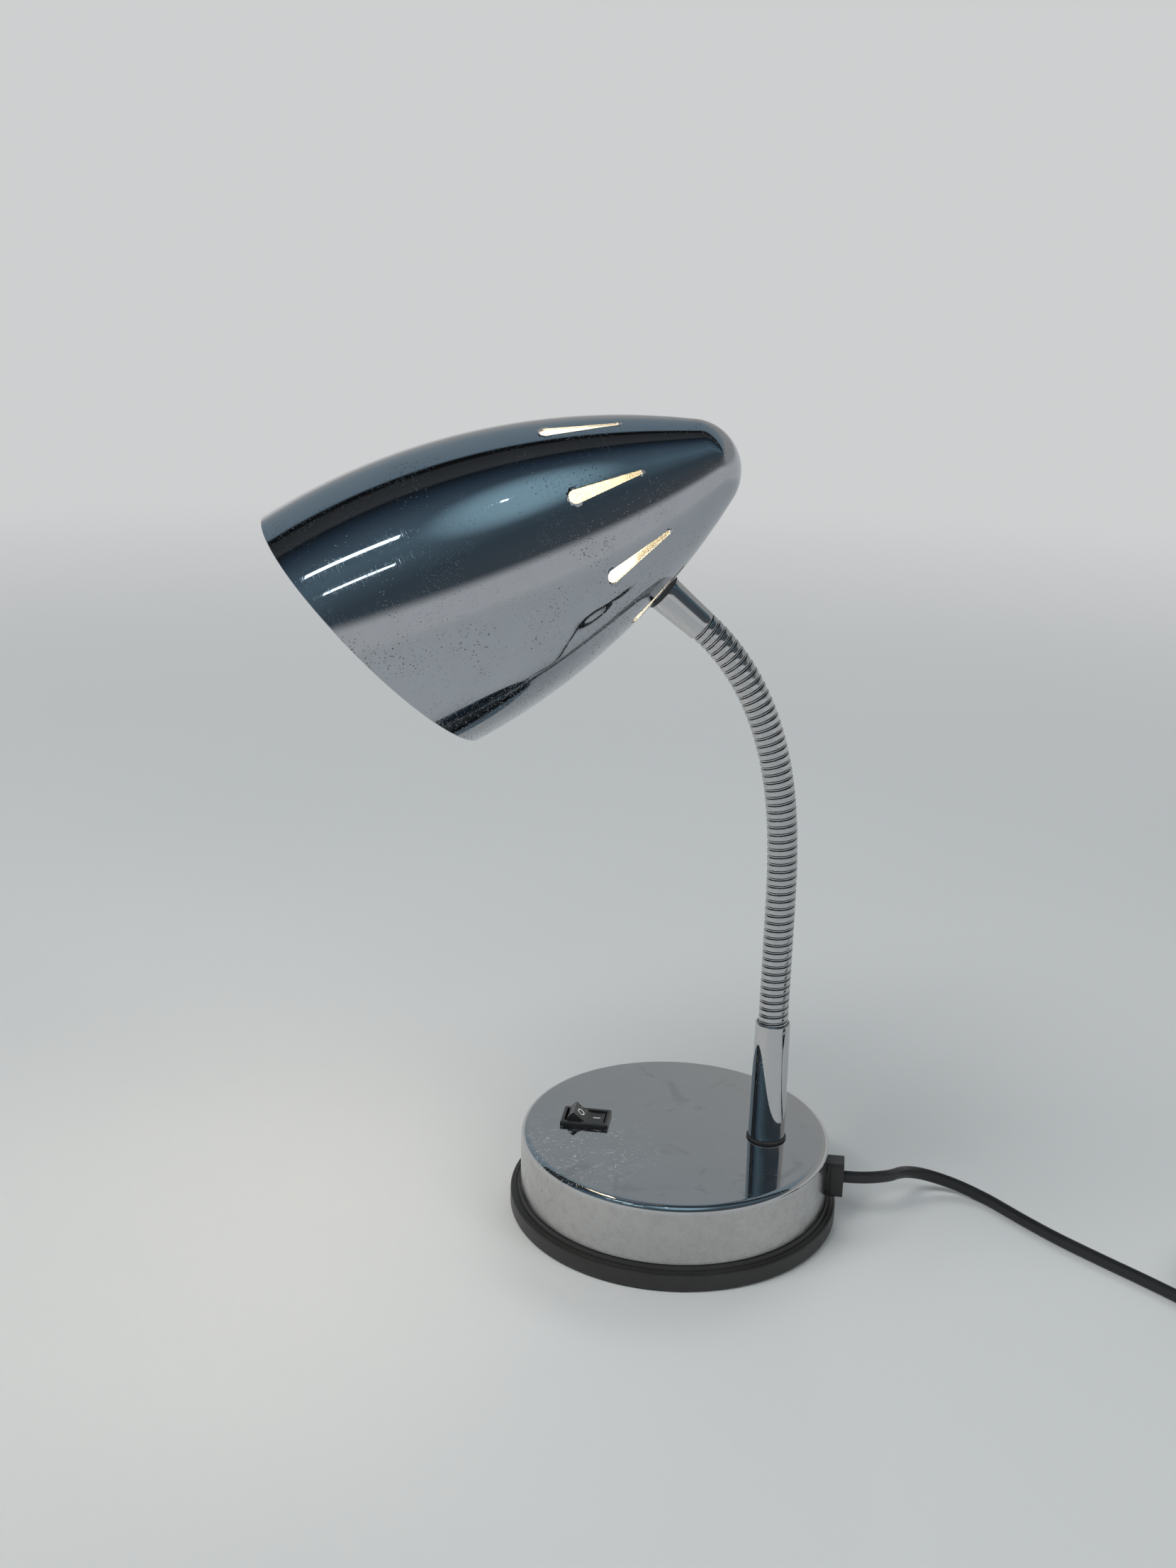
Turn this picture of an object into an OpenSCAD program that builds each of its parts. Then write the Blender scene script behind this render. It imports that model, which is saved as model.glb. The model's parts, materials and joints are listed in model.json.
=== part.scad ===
// Gooseneck desk lamp: a round weighted base with a rocker switch, a short tapered column,
// a flexible neck made of jointed rings, and a slotted bullet-shaped shade.
// Millimetres. +Z is up, the origin is the middle of the pad that the lamp stands on.
// The switch and the column lie along X; the neck leans towards -X.

/* [Base] */
// Outside diameter of the pressed cover
cover_d = 133; // [122:1:160]
// Height of the cover's flat top above the table
base_h = 36; // [33:0.5:46]
// Sheet thickness of the cover
sheet_t = 0.8; // [0.6:0.1:1.2]
// Radius of the rounded edge round the cover's top
cover_round = 3; // [2:0.5:6]
// Height of the cover's lower edge above the table
cover_lift = 9.8; // [9:0.1:12]
// How far the tray's rim stands out past the cover
rim_out = 4.3; // [3:0.1:7]
// Height of the rim's outer wall
rim_h = 7.6; // [6.5:0.1:8.5]
// Wall of the moulded tray
tray_wall = 2.2; // [1.8:0.1:3]
// Diameter of the ballast disc
ballast_d = 108; // [100:1:112]
// Thickness of the ballast disc
ballast_t = 9; // [6:0.5:10]
// Thickness of the foam pad under the tray
pad_t = 1.6; // [1:0.1:2.5]

/* [Screws] */
// Radius of the circle that the base screws lie on
screw_circle_r = 46; // [43:0.5:48]
// Diameter of a base screw's shank
screw_d = 3.5; // [3:0.1:4]
// Diameter of a base screw's head
screw_head_d = 6.8; // [6:0.1:7.5]
// Diameter of a threaded pillar under the cover
pillar_d = 8; // [7:0.5:9]

/* [Switch] */
// Distance from the lamp's middle to the switch
switch_x = 39; // [36:0.5:44]
// Length of the switch's bezel
bezel_l = 21; // [20:0.5:23]
// Width of the switch's bezel
bezel_w = 15; // [14:0.5:17]
// Height of the bezel above the cover
bezel_h = 2; // [1.5:0.1:3]
// Depth of the switch's body under the cover
switch_depth = 15; // [13:0.5:16]
// Tilt of the rocker each side of level
rocker_tilt = 18; // [12:0.5:18]

/* [Column] */
// Distance from the lamp's middle to the column
column_x = 39.4; // [36:0.1:42]
// Diameter of the column at its foot
column_foot_d = 15.7; // [15:0.1:18]
// Diameter of the column at its top
column_top_d = 14.6; // [14.4:0.1:15.4]
// Height of the column above its gasket
column_h = 52.8; // [35:0.1:90]
// Thickness of the gasket under the column
gasket_t = 1.2; // [0.8:0.1:2]

/* [Neck] */
// Outside diameter of the neck
neck_d = 12.5; // [12.3:0.1:12.7]
// Height of one turn of the neck
turn_pitch = 3.23; // [3:0.01:3.5]
// Turns in one rigid link of the neck
turns_per_link = 3; // [2:1:4]
// Number of links in the neck
links = 18; // [14:1:20]
// Angle through which the neck bends forward in all
neck_bend = 50; // [0:1:70]
// Length of neck above the column that stays straight
neck_straight = 43; // [20:1:80]
// Turn of the neck and shade about the column
arm_turn = 10.6; // [-30:0.1:30]
// Half of the gap between two wide bands
band_gap = 0.7; // [0.6:0.05:0.8]
// Gap between a link's ball and the next link's socket
ball_gap = 0.15; // [0.1:0.01:0.2]
// Bore of the neck, for the two leads
neck_bore_d = 6; // [5:0.1:6.4]

/* [Shade] */
// Greatest diameter of the shade
shade_d = 115; // [100:1:130]
// Length of the shade from its widest part to the tip of its nose
shade_len = 150; // [140:1:165]
// Radius of the long arc that forms the shade's outline
shade_arc_r = 263; // [250:1:300]
// Thickness of the shade's sheet
shade_t = 0.8; // [0.6:0.1:1.2]
// Distance from the widest part to the middle of the mouth
mouth_drop = 5.7; // [0:0.1:15]
// Slant of the mouth
mouth_tilt = 17.4; // [0:0.1:22]
// Distance along the axis from the widest part to the collar
collar_station = 101; // [95:0.5:106]
// Number of slots round the shade
slots = 8; // [4:2:8]
// Distance along the axis from the widest part to the middle of a slot
slot_station = 100.6; // [94:0.2:106]
// Distance between the centres of a slot's two round ends
slot_len = 26.6; // [18:0.2:32]
// Radius of a slot's wide end
slot_wide_r = 2.7; // [2:0.1:3.6]
// Radius of a slot's narrow end
slot_tip_r = 0.9; // [0.6:0.1:1.5]

/* [Collar and lampholder] */
// Length of the collar between the neck and the shade
collar_len = 20.3; // [16:0.1:26]
// Diameter of the collar at the neck
collar_neck_d = 13; // [12.9:0.1:13.6]
// Diameter of the collar at the shade
collar_shade_d = 14.9; // [14:0.1:18]
// Outside diameter of the lampholder
holder_d = 27; // [25:0.5:29]
// Length of the lampholder
holder_len = 50; // [44:0.5:52]
// Diameter of the bulb's glass
bulb_d = 45; // [40:1:48]
// Length of the bulb's glass
glass_len = 52; // [48:0.5:56]

/* [Cord] */
// Width of the flat cord
cord_w = 5.4; // [5:0.1:6]
// Thickness of the flat cord
cord_t = 3.2; // [2.8:0.1:3.6]
// Outside diameter of the coil of spare cord
coil_d = 78; // [74:1:80]
// Inside diameter of the coil of spare cord
coil_bore_d = 51; // [48:1:54]

/* [Hidden] */
$fn = 72;
thin_fn = 32;
// Clearances
fit = 0.1;
slide = 0.2;
eps = 0.01;
// How far a cutting shape runs past the face that it opens
over = 1;

// Standard threaded tube, nut and washer
tube_r = 5;
tube_bore_r = 3.4;
hex_r = 8.1;
hex_h = 4;
washer_r = 8.6;
washer_t = 1.2;
thread_end = 3;

// Base
cover_r = cover_d / 2;
cover_in_r = cover_r - sheet_t;
under_top = base_h - sheet_t;
rim_r = cover_r + rim_out;
rim_foot = 0.6;
rim_chamfer = 0.8;
ledge_rise = 0.4;
ledge_fall = 0.1;
rib_out = 2.4;
rib_w = 0.45;
seat_in = 0.7;
spigot_h = 6;
pad_edge = 4;
pad_clear = 1;
pad_r = cover_r - pad_edge;
tray_floor = pad_t + tray_wall;
boss_wall = 2.4;
boss_h = 4;
boss_r = screw_head_d / 2 + boss_wall;
boss_top = tray_floor + boss_h;
head_h = 2;
recess_roof = 3;
head_seat = boss_top - recess_roof;
cross_w = 1;
cross_deep = 1.2;
screw_up = 12;
screw_angles = [90, 210, 330];
ballast_clear = 1;

// Column and its fitting
column_z = base_h + gasket_t;
column_top = column_z + column_h;
column_foot_r = column_foot_d / 2;
column_top_r = column_top_d / 2;
column_round = 0.5;
flange_h = 3;
column_gap = 0.15;
column_bore_r = neck_d / 2 + column_gap;
gasket_out = 0.6;
gasket_r = column_foot_r + gasket_out;
washer_z = under_top - washer_t;
nut_z = washer_z - hex_h;
foot_tube_z = nut_z - thread_end;

// Neck
neck_r = neck_d / 2;
neck_bore_r = neck_bore_d / 2;
link_len = turn_pitch * turns_per_link;
ball_in = 0.5;
ball_r = neck_r - ball_in;
socket_r = ball_r + ball_gap;
ball_top = 1.9;
socket_room = 1.1;
socket_top = ball_top + socket_room;
band_chamfer = 0.25;
groove_deep = 0.8;
groove_r = neck_r - groove_deep;
thin_band_half = 0.35;
groove_half = 0.55;
ball_skirt = 0.1;
bore_step = 2;
bore_cone = 1;
foot_stub = 1.2;
collar_gap = 0.3;
head_stub = turn_pitch + thin_band_half + collar_gap;
neck_len = foot_stub + links * link_len + head_stub;

// Shade
shade_r = shade_d / 2;
arc_x = shade_r - shade_arc_r;
// Radius of the nose ball that meets the long arc tangentially with its tip at shade_len
nose_r = (arc_x * arc_x + shade_len * shade_len - shade_arc_r * shade_arc_r)
       / (2 * (shade_len - shade_arc_r));
nose_z = shade_len - nose_r;
join_a = atan2(nose_z, -arc_x);
shade_reach = 45;
side_steps = 16;
nose_steps = 6;
close_fn = 180;
collar_a = asin(collar_station / shade_arc_r);
slot_a = asin(slot_station / shade_arc_r);
slot_shift = 180 / slots;
mouth_block = 260;
// Half the length of the shapes that cut through the shade's wall
wall_cut = 5;

// Collar
collar_z = head_stub;
seal_z = collar_z + collar_len;
seal_t = 0.9;
collar_wall = 1;
collar_edge = 0.4;
collar_bore_r = collar_neck_d / 2 - collar_wall;
contact_z = seal_z + seal_t;
saddle_t = 1.5;
strap_t = 1.2;
strap_w = 12;
strap_spare = 1;
strap_z = contact_z + shade_t + saddle_t;
head_nut_z = strap_z + strap_t;
tube_end = 2;
head_tube_top = head_nut_z + hex_h + tube_end;
saddle_r = washer_r - 1;
seal_out = 0.3;
// The seal and the saddle are cut from blanks this long, or longer
blank_len = 3;

// Lampholder and bulb, measured along the shade's axis from the widest part
strap_level = 115.4;
holder_top = strap_level - strap_t / 2;
holder_front = holder_top - holder_len;
holder_cap_h = 14;
holder_neck_r = 8;
holder_nipple_h = strap_t + hex_h + 1;
dome_r = 5;
dome_drop = 9;
holder_wall = 2;
holder_roof = 4;
holder_edge = 1;
ring_h = 5;
ring_groove = 0.8;
contact_hole_r = 2.4;
shell_in_r = 7.1;
shell_wall = 0.4;
shell_lip = 1.2;
shell_inset = 5;
holder_bore_r = shell_in_r + shell_wall + fit;
cap_r = 6.9;
cap_h = 22;
cap_wall = 0.3;
cap_slope = 2;
cap_neck_h = 3;
contact_r = 2.6;
contact_h = 6;
contact_out = contact_h + cap_slope / 2;
glass_t = 0.8;
glass_neck_r = 7.4;
waist_a = 52;
bulb_r = bulb_d / 2;
glass_top = holder_front;
glass_mid = glass_top - glass_len + bulb_r;
// The lampholder's centre contact meets the bulb's
tongue_z = glass_top + cap_h + contact_out;
tongue_r = 5;
tongue_t = 0.5;
tongue_post_r = 2;
tongue_post_h = 7;
holder_floor = tongue_z + tongue_t;

// Switch
switch_top = base_h + bezel_h;
bezel_out = 1;
bezel_side = 1.1;
switch_body_l = bezel_l - 2 * bezel_out;
switch_body_w = bezel_w - 2 * bezel_side;
switch_wall = 0.7;
switch_side = 1.2;
switch_floor = 2;
blade_in = 1.5 * switch_floor;
clip_r = 0.9;
clip_w = 6;
clip_drop = 3;
rocker_play = 0.25;
rocker_w = switch_body_w - 2 * switch_side;
rocker_r = switch_body_l / 2 - switch_wall - slide;
pivot_r = 1.2;
pivot_play = 0.05;
pivot_stub = 0.7;
pivot_drop = 3.5;
pivot_z = switch_top - pivot_drop;
// The pressed end of the rocker lies just below the bezel's top
pressed_sink = 0.55;
corner_a = asin((pivot_drop - pressed_sink) / rocker_r) + rocker_tilt;
skirt_a = 6;
face_sag = 0.3;
bezel_chamfer = 0.6;
bezel_corner = 1.2;
blade_t = 0.8;
blade_w = 4.8;
blade_out = 5;
blade_foot = base_h - switch_depth - blade_out;
blade_pitch = 6.5;
blade_hole_r = 0.8;
blade_hole_z = 2.5;

// Cord bushing
exit_z = 20;
bushing_out = 7;
bushing_h = 15.6;
bushing_w = 11;
bushing_hole_r = 6.2;
bushing_in = 7;
bushing_room = 2;
bushing_lip = 0.5;
bushing_round = 2;
slot_deep = 2;
notch_x = 0.6;
notch_l = 2;
notch_deep = 0.6;

// Route of the cord on the table: leaves the bushing, comes down and runs to the coil
cord_route = [
    [71.5, 0, 20], [78.3, 0.4, 19.9], [84.4, 2.1, 19.5], [89.7, 5.2, 18.7], [94.2, 9.6, 17.4],
    [98, 15.5, 15.7], [102, 21.8, 13], [107.6, 26.7, 10.2], [114.4, 29.4, 7.5],
    [121.5, 29.9, 5.3], [128.3, 28.4, 3.7], [134.5, 25.1, 2.8], [140.1, 20.2, 2.7],
    [153, 6.8, 2.7], [166, -5.5, 2.7], [181.5, -18.3, 2.7], [196.5, -30.2, 2.7],
    [207.5, -39.3, 2.7], [217.5, -48, 2.7], [227, -57, 2.7]
];
coil_x = 253.4;
coil_y = -30.6;
coil_h = 2 * cord_w;
coil_leave = -30;
tie_turn = 100;
tie_w = 3;
tie_t = 1;
tail_len = 13;
plug_nose_l = 20;
plug_l = 32;
plug_w = 26;
plug_t = 13.5;
plug_taper = 8;
plug_round = 5;
plug_bevel = 1.5;
plug_wall = 0.8;
nose_t = 9;
nose_edge = 0.5;
pin_r = 2;
pin_len = 19;
pin_root = 8;
pin_pitch = 18.6;
tail_start = 6;

// Leads inside the base: they end on the switch's blades, and in between lie over the ballast
lead_r = 1.1;
ballast_top = tray_floor + ballast_t;
blade_side = (blade_pitch + blade_t) / 2;
blade_tap = blade_foot + blade_hole_z;
switch_lead_route = concat([[cover_r - bushing_in, 0, exit_z]],
    [for (q = [[52, 0, 6.8], [45, -8, 6.2], [34, -15, 5.2], [20, -17, 4.2], [4, -17, 3.4],
        [-10, -15, 3], [-19, -12.5, 3.2], [-25, -7.5, 3.8], [-29.5, -2.6, 4.8]])
        q + [0, 0, ballast_top]],
    [for (q = [[3.2, -0.5], [1.6, 0], [0, 0]]) [blade_side - switch_x + q[0], q[1], blade_tap]]);
neck_lead_route = concat(
    [for (q = [[0, 0], [2, 0], [5, 0.8]]) [-blade_side - switch_x - q[0], q[1], blade_tap]],
    [for (q = [[-51, 3.2, 4.8], [-53, 7, 4.2], [-53, 11.5, 3.6], [-50.5, 15, 3.2], [-46, 17.2, 3],
        [-38, 18, 3], [-18, 17, 3.2], [0, 15.5, 3.6], [18, 12, 4.2], [31, 6, 4.8]])
        q + [0, 0, ballast_top]],
    [for (below = [7, 0, -4]) [column_x, 0, foot_tube_z - below]]);
// From the neck round the strap into the lampholder: two depths in from the shade's wall on the
// collar's axis, then points over the strap's level
holder_lead_start = [8, 13];
holder_lead_route = [[22, 5, -17], [21, 8.5, -10], [18.5, 9.5, 0], [14, 7.5, 8], [8, 4, 12],
    [3, 1.2, 12], [0.5, 0, 8.5], [0, 0, 4], [0, 0, -3]];

function link_name(k) = str("neck_link_", k < 10 ? "0" : "", k);

// ---------------------------------------------------------------- helper functions

// Points of an arc, from one angle to another
function arc(cx, cy, r, a0, a1, n) =
    [for (i = [0:n]) let (a = a0 + (a1 - a0) * i / n) [cx + r * cos(a), cy + r * sin(a)]];

// Rectangle with round corners
function round_rect(l, w, r) = concat(
    arc(l / 2 - r, w / 2 - r, r, 0, 90, 6), arc(r - l / 2, w / 2 - r, r, 90, 180, 6),
    arc(r - l / 2, r - w / 2, r, 180, 270, 6), arc(l / 2 - r, r - w / 2, r, 270, 360, 6));

// Teardrop: a wide end on +x, a narrow end on -x, joined by common tangents
function teardrop(len, wide, tip) = let (a = acos((wide - tip) / len)) concat(
    arc(len / 2, 0, wide, a - 180, 180 - a, 14), arc(-len / 2, 0, tip, 180 - a, 180 + a, 8));

function unit(v) = v / norm(v);

// Direction of a route at one of its points
function heading(route, i) =
    unit(route[min(i + 1, len(route) - 1)] - route[max(i - 1, 0)]);

// Tube of oval section swept along a route: w upright, t sideways
module swept_tube(route, w, t, sides) {
    rings = len(route);
    points = [for (i = [0:rings - 1]) let (
        d = heading(route, i),
        side = unit(abs(d[2]) > 0.99 ? [1, 0, 0] : cross([0, 0, 1], d)),
        up = cross(d, side))
        for (j = [0:sides - 1]) let (a = 360 * (j + 0.5) / sides)
            route[i] + side * (t / 2 * cos(a)) + up * (w / 2 * sin(a))];
    walls = [for (i = [0:rings - 2], j = [0:sides - 1]) let (n = (j + 1) % sides)
        for (f = [[i * sides + j, (i + 1) * sides + j, (i + 1) * sides + n],
                  [i * sides + j, (i + 1) * sides + n, i * sides + n]]) f];
    near_end = [[for (j = [0:sides - 1]) j]];
    far_end = [[for (j = [sides - 1:-1:0]) (rings - 1) * sides + j]];
    polyhedron(points, concat(walls, near_end, far_end), convexity = 4);
}

// ---------------------------------------------------------------- frames

// Heading of the neck from vertical, at a distance along it from the column's top
function lean(s) = let (u = max(0, s - neck_straight) / (neck_len - neck_straight))
    neck_bend * u * u;
function link_lean(k) = lean(foot_stub + (k - 0.5) * link_len);
function link_x(k) = k == 0 ? 0 : link_x(k - 1) - link_len * sin(link_lean(k));
function link_z(k) = k == 0 ? column_top + foot_stub : link_z(k - 1) + link_len * cos(link_lean(k));

// The plane that the neck bends in
module in_arm() {
    translate([column_x, 0, 0]) rotate([0, 0, arm_turn]) children();
}

// One link, with its lower ball centre at the origin and its axis along Z
module in_link(k) {
    in_arm() translate([link_x(k - 1), 0, link_z(k - 1)]) rotate([0, -link_lean(k), 0]) children();
}

// The shade end of the neck, with Z along the collar
module in_head() {
    in_arm() translate([link_x(links), 0, link_z(links)]) rotate([0, -neck_bend, 0]) children();
}

// The shade: origin on its axis at the widest part, Z towards its nose, collar on +X
module in_shade() {
    in_head()
        translate([0, 0, contact_z + shade_arc_r])
            rotate([0, 90 + collar_a, 0])
                translate([-arc_x, 0, 0]) children();
}

// Directions within the shade's frame that stand square to its outline
module on_outline(turn, angle) {
    rotate([0, 0, turn]) translate([arc_x, 0, 0]) rotate([0, -angle, 0]) children();
}

// ---------------------------------------------------------------- base

module cover_outline(inset, low) {
    r = cover_r - inset;
    top = base_h - inset;
    bend = cover_round - inset;
    polygon(concat([[0, low], [r, low]], arc(r - bend, top - bend, bend, 0, 90, 8), [[0, top]]));
}

module base_cover() {
    color("silver") difference() {
        rotate_extrude() cover_outline(0, cover_lift);
        rotate_extrude() cover_outline(sheet_t, cover_lift - over);
        translate([column_x, 0, under_top - over]) cylinder(r = tube_r + slide, h = sheet_t + 2 * over);
        translate([-switch_x, 0, base_h])
            cube([switch_body_l + slide, switch_body_w + slide, 2 * (sheet_t + over)], center = true);
        translate([cover_r - bushing_in, 0, exit_z])
            rotate([0, 90, 0]) cylinder(r = bushing_hole_r + fit, h = 2 * bushing_in);
    }
}

module tray_section() {
    spigot_r = cover_in_r - slide;
    polygon([
        [0, pad_t], [pad_r + slide, pad_t], [pad_r + slide, rim_foot],
        [rim_r - rim_chamfer, rim_foot], [rim_r, rim_foot + rim_chamfer],
        [rim_r, rim_h - rim_chamfer], [rim_r - rim_chamfer / 2, rim_h - rim_chamfer / 4],
        [rim_r - rim_chamfer, rim_h],
        [cover_r + rib_out, rim_h + ledge_rise - ledge_fall], [cover_r + rib_out, rim_h + 2 * ledge_rise],
        [cover_r + rib_out - rib_w, rim_h + 2 * ledge_rise],
        [cover_r + rib_out - rib_w, rim_h + ledge_rise],
        [cover_r + 2 * seat_in, rim_h + ledge_rise], [cover_r + seat_in, cover_lift],
        [spigot_r, cover_lift], [spigot_r, cover_lift + spigot_h],
        [spigot_r - tray_wall, cover_lift + spigot_h], [spigot_r - tray_wall, tray_floor],
        [0, tray_floor]
    ]);
}

module at_screws() {
    for (a = screw_angles) rotate([0, 0, a]) translate([screw_circle_r, 0, 0]) children();
}

module base_tray() {
    notch_half = bushing_hole_r + bushing_room;
    color("#1c1a19") difference() {
        union() {
            rotate_extrude() tray_section();
            at_screws() translate([0, 0, pad_t]) cylinder(r = boss_r, h = boss_top - pad_t);
        }
        at_screws() translate([0, 0, -over])
            cylinder(r = screw_head_d / 2 + slide, h = head_seat + over);
        at_screws() translate([0, 0, -over]) cylinder(r = screw_d / 2 + slide, h = boss_top + 2 * over);
        // Notch in the spigot that leaves room for the bushing
        translate([cover_r - bushing_in, 0, exit_z])
            cube([2 * bushing_in, 2 * notch_half, 2 * notch_half], center = true);
    }
}

module base_pad() {
    color("#2b2b2b") difference() {
        cylinder(r = pad_r, h = pad_t);
        at_screws() translate([0, 0, -over])
            cylinder(r = screw_head_d / 2 + pad_clear, h = pad_t + 2 * over);
    }
}

module ballast_weight() {
    color("dimgray") difference() {
        translate([0, 0, tray_floor]) cylinder(r = ballast_d / 2, h = ballast_t);
        at_screws() cylinder(r = boss_r + ballast_clear, h = base_h);
    }
}

module base_screws() {
    color("gray") at_screws() difference() {
        union() {
            translate([0, 0, head_seat - head_h]) cylinder(r = screw_head_d / 2, h = head_h);
            translate([0, 0, head_seat - eps]) cylinder(r = screw_d / 2, h = screw_up);
        }
        for (a = [0, 90]) rotate([0, 0, a])
            translate([-screw_head_d / 4, -cross_w / 2, head_seat - head_h - eps])
                cube([screw_head_d / 2, cross_w, cross_deep]);
    }
}

module cover_pillars() {
    color("gray") at_screws() difference() {
        translate([0, 0, boss_top]) cylinder(r = pillar_d / 2, h = under_top - boss_top);
        translate([0, 0, boss_top - eps])
            cylinder(r = screw_d / 2 + fit, h = screw_up + head_seat - boss_top + over);
    }
}

// ---------------------------------------------------------------- switch

// End view of the bezel: a slab with chamfered top edges
module bezel_end(l) {
    polygon([[-l / 2, base_h], [l / 2, base_h], [l / 2, switch_top - bezel_chamfer],
        [l / 2 - bezel_chamfer, switch_top], [bezel_chamfer - l / 2, switch_top],
        [-l / 2, switch_top - bezel_chamfer]]);
}

module switch_housing() {
    well_l = switch_body_l - 2 * switch_wall;
    well_w = rocker_w + 2 * rocker_play;
    color("#151515") translate([-switch_x, 0, 0]) difference() {
        union() {
            intersection() {
                translate([0, 0, base_h])
                    linear_extrude(bezel_h) polygon(round_rect(bezel_l, bezel_w, bezel_corner));
                translate([0, bezel_w, 0]) rotate([90, 0, 0]) linear_extrude(2 * bezel_w)
                    bezel_end(bezel_l);
                translate([-bezel_l, 0, 0]) rotate([90, 0, 90]) linear_extrude(2 * bezel_l)
                    bezel_end(bezel_w);
            }
            translate([-switch_body_l / 2, -switch_body_w / 2, base_h - switch_depth])
                cube([switch_body_l, switch_body_w, switch_depth + bezel_h / 2]);
            for (s = [-1, 1]) translate([s * switch_body_l / 2, 0, under_top - clip_drop])
                rotate([90, 0, 0]) cylinder(r = clip_r, h = clip_w, center = true, $fn = 48);
        }
        translate([-well_l / 2, -well_w / 2, base_h - switch_depth + switch_floor])
            cube([well_l, well_w, switch_depth + bezel_h]);
        translate([0, 0, pivot_z]) rotate([90, 0, 0])
            cylinder(r = pivot_r + pivot_play, h = well_w + 2 * pivot_stub, center = true);
        for (s = [-1, 1]) translate([s * blade_pitch / 2, 0, base_h - switch_depth])
            cube([blade_t + 2 * eps, blade_w + 2 * eps, 2 * blade_in], center = true);
    }
}

// Side view of the rocker, level, about its pivot: round ends and two hollow faces
module rocker_side() {
    corner = rocker_r * [cos(corner_a), sin(corner_a)];
    dip = [0, corner[1] - corner[0] * tan(rocker_tilt)];
    face = [for (i = [1:5]) let (u = i / 6) [corner[0] * (1 - u),
        corner[1] + (dip[1] - corner[1]) * u - 4 * face_sag * u * (1 - u)]];
    polygon(concat(
        arc(0, 0, rocker_r, -skirt_a, corner_a, 6), face, [dip],
        [for (i = [1:5]) [-face[5 - i][0], face[5 - i][1]]],
        arc(0, 0, rocker_r, 180 - corner_a, 180 + skirt_a, 6),
        [[-rocker_r / 2, -rocker_r / 2], [rocker_r / 2, -rocker_r / 2]]));
}

module switch_rocker() {
    color("#101010") translate([-switch_x, 0, pivot_z]) rotate([0, rocker_tilt, 0]) {
        translate([0, rocker_w / 2, 0]) rotate([90, 0, 0]) linear_extrude(rocker_w) rocker_side();
        rotate([90, 0, 0]) cylinder(r = pivot_r, center = true,
            h = rocker_w + 2 * (rocker_play + pivot_stub) - 2 * fit);
    }
}

module switch_terminals() {
    color("goldenrod") translate([-switch_x, 0, base_h - switch_depth])
        for (s = [-1, 1]) translate([s * blade_pitch / 2, 0, 0]) difference() {
            translate([-blade_t / 2, -blade_w / 2, -blade_out])
                cube([blade_t, blade_w, blade_out + blade_in]);
            translate([0, 0, blade_hole_z - blade_out]) rotate([0, 90, 0])
                cylinder(r = blade_hole_r, h = blade_t + 2 * over, center = true, $fn = thin_fn);
        }
}

// ---------------------------------------------------------------- cord entry and leads

module cord_bushing() {
    color("#121212") translate([cover_r, 0, exit_z]) difference() {
        union() {
            rotate([90, 0, 90]) linear_extrude(bushing_out)
                polygon(round_rect(bushing_w, bushing_h, bushing_round));
            translate([-bushing_in, 0, 0]) rotate([0, 90, 0])
                cylinder(r = bushing_hole_r, h = bushing_in + eps);
            translate([-bushing_in, 0, 0]) rotate([0, 90, 0])
                cylinder(r1 = bushing_hole_r - bushing_lip, r2 = bushing_hole_r + bushing_lip,
                    h = bushing_in - sheet_t - 2 * bushing_lip);
        }
        translate([bushing_out - slot_deep, -cord_t / 2 - fit, -cord_w / 2 - fit])
            cube([slot_deep + over, cord_t + 2 * fit, cord_w + 2 * fit]);
        for (s = [-1, 1]) translate([notch_x + eps, s * (bushing_w / 2 + over - notch_deep), 0])
            cube([notch_l, 2 * over, bushing_h + over], center = true);
    }
}

module switch_lead() {
    color("sienna") swept_tube(switch_lead_route, 2 * lead_r, 2 * lead_r, 8);
}

module neck_lead() {
    color("royalblue") swept_tube(neck_lead_route, 2 * lead_r, 2 * lead_r, 8);
}

// ---------------------------------------------------------------- column

module column_sleeve() {
    color("silver") in_arm() translate([0, 0, column_z]) difference() {
        rotate_extrude() polygon(concat([[0, 0], [column_foot_r, 0]],
            arc(column_top_r - column_round, column_h - column_round, column_round, 0, 90, 5),
            [[0, column_h]]));
        translate([0, 0, -over]) cylinder(r = tube_r + fit, h = flange_h + 2 * over);
        translate([0, 0, flange_h]) cylinder(r = column_bore_r, h = column_h);
    }
}

module column_gasket() {
    color("#111111") in_arm() difference() {
        translate([0, 0, base_h]) cylinder(r = gasket_r, h = gasket_t);
        translate([0, 0, base_h - over]) cylinder(r = tube_r + fit, h = gasket_t + 2 * over);
    }
}

module column_washer() {
    color("lightgray") in_arm() difference() {
        translate([0, 0, washer_z]) cylinder(r = washer_r, h = washer_t);
        translate([0, 0, washer_z - over]) cylinder(r = tube_r + fit, h = washer_t + 2 * over);
    }
}

module hex_nut() {
    difference() {
        cylinder(r = hex_r, h = hex_h, $fn = 6);
        translate([0, 0, -over]) cylinder(r = tube_r, h = hex_h + 2 * over);
    }
}

module column_nut() {
    color("gainsboro") in_arm() translate([0, 0, nut_z]) hex_nut();
}

// Threaded tube and shoulder that the neck's lower end is fixed in
module neck_foot_fitting() {
    shoulder_z = column_z + flange_h;
    top = column_top + foot_stub;
    color("gainsboro") in_arm() rotate_extrude() polygon(concat(
        [[tube_bore_r, foot_tube_z], [tube_r, foot_tube_z], [tube_r, shoulder_z],
         [neck_r, shoulder_z], [neck_r, top - turn_pitch - band_gap - band_chamfer],
         [neck_r - band_chamfer, top - turn_pitch - band_gap]],
        thin_band(top - turn_pitch),
        wide_band(top - turn_pitch), ball_zone(top),
        [[neck_bore_r, top + ball_top], [neck_bore_r, top - bore_step],
         [tube_bore_r, top - bore_step - bore_cone]]));
}

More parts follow.
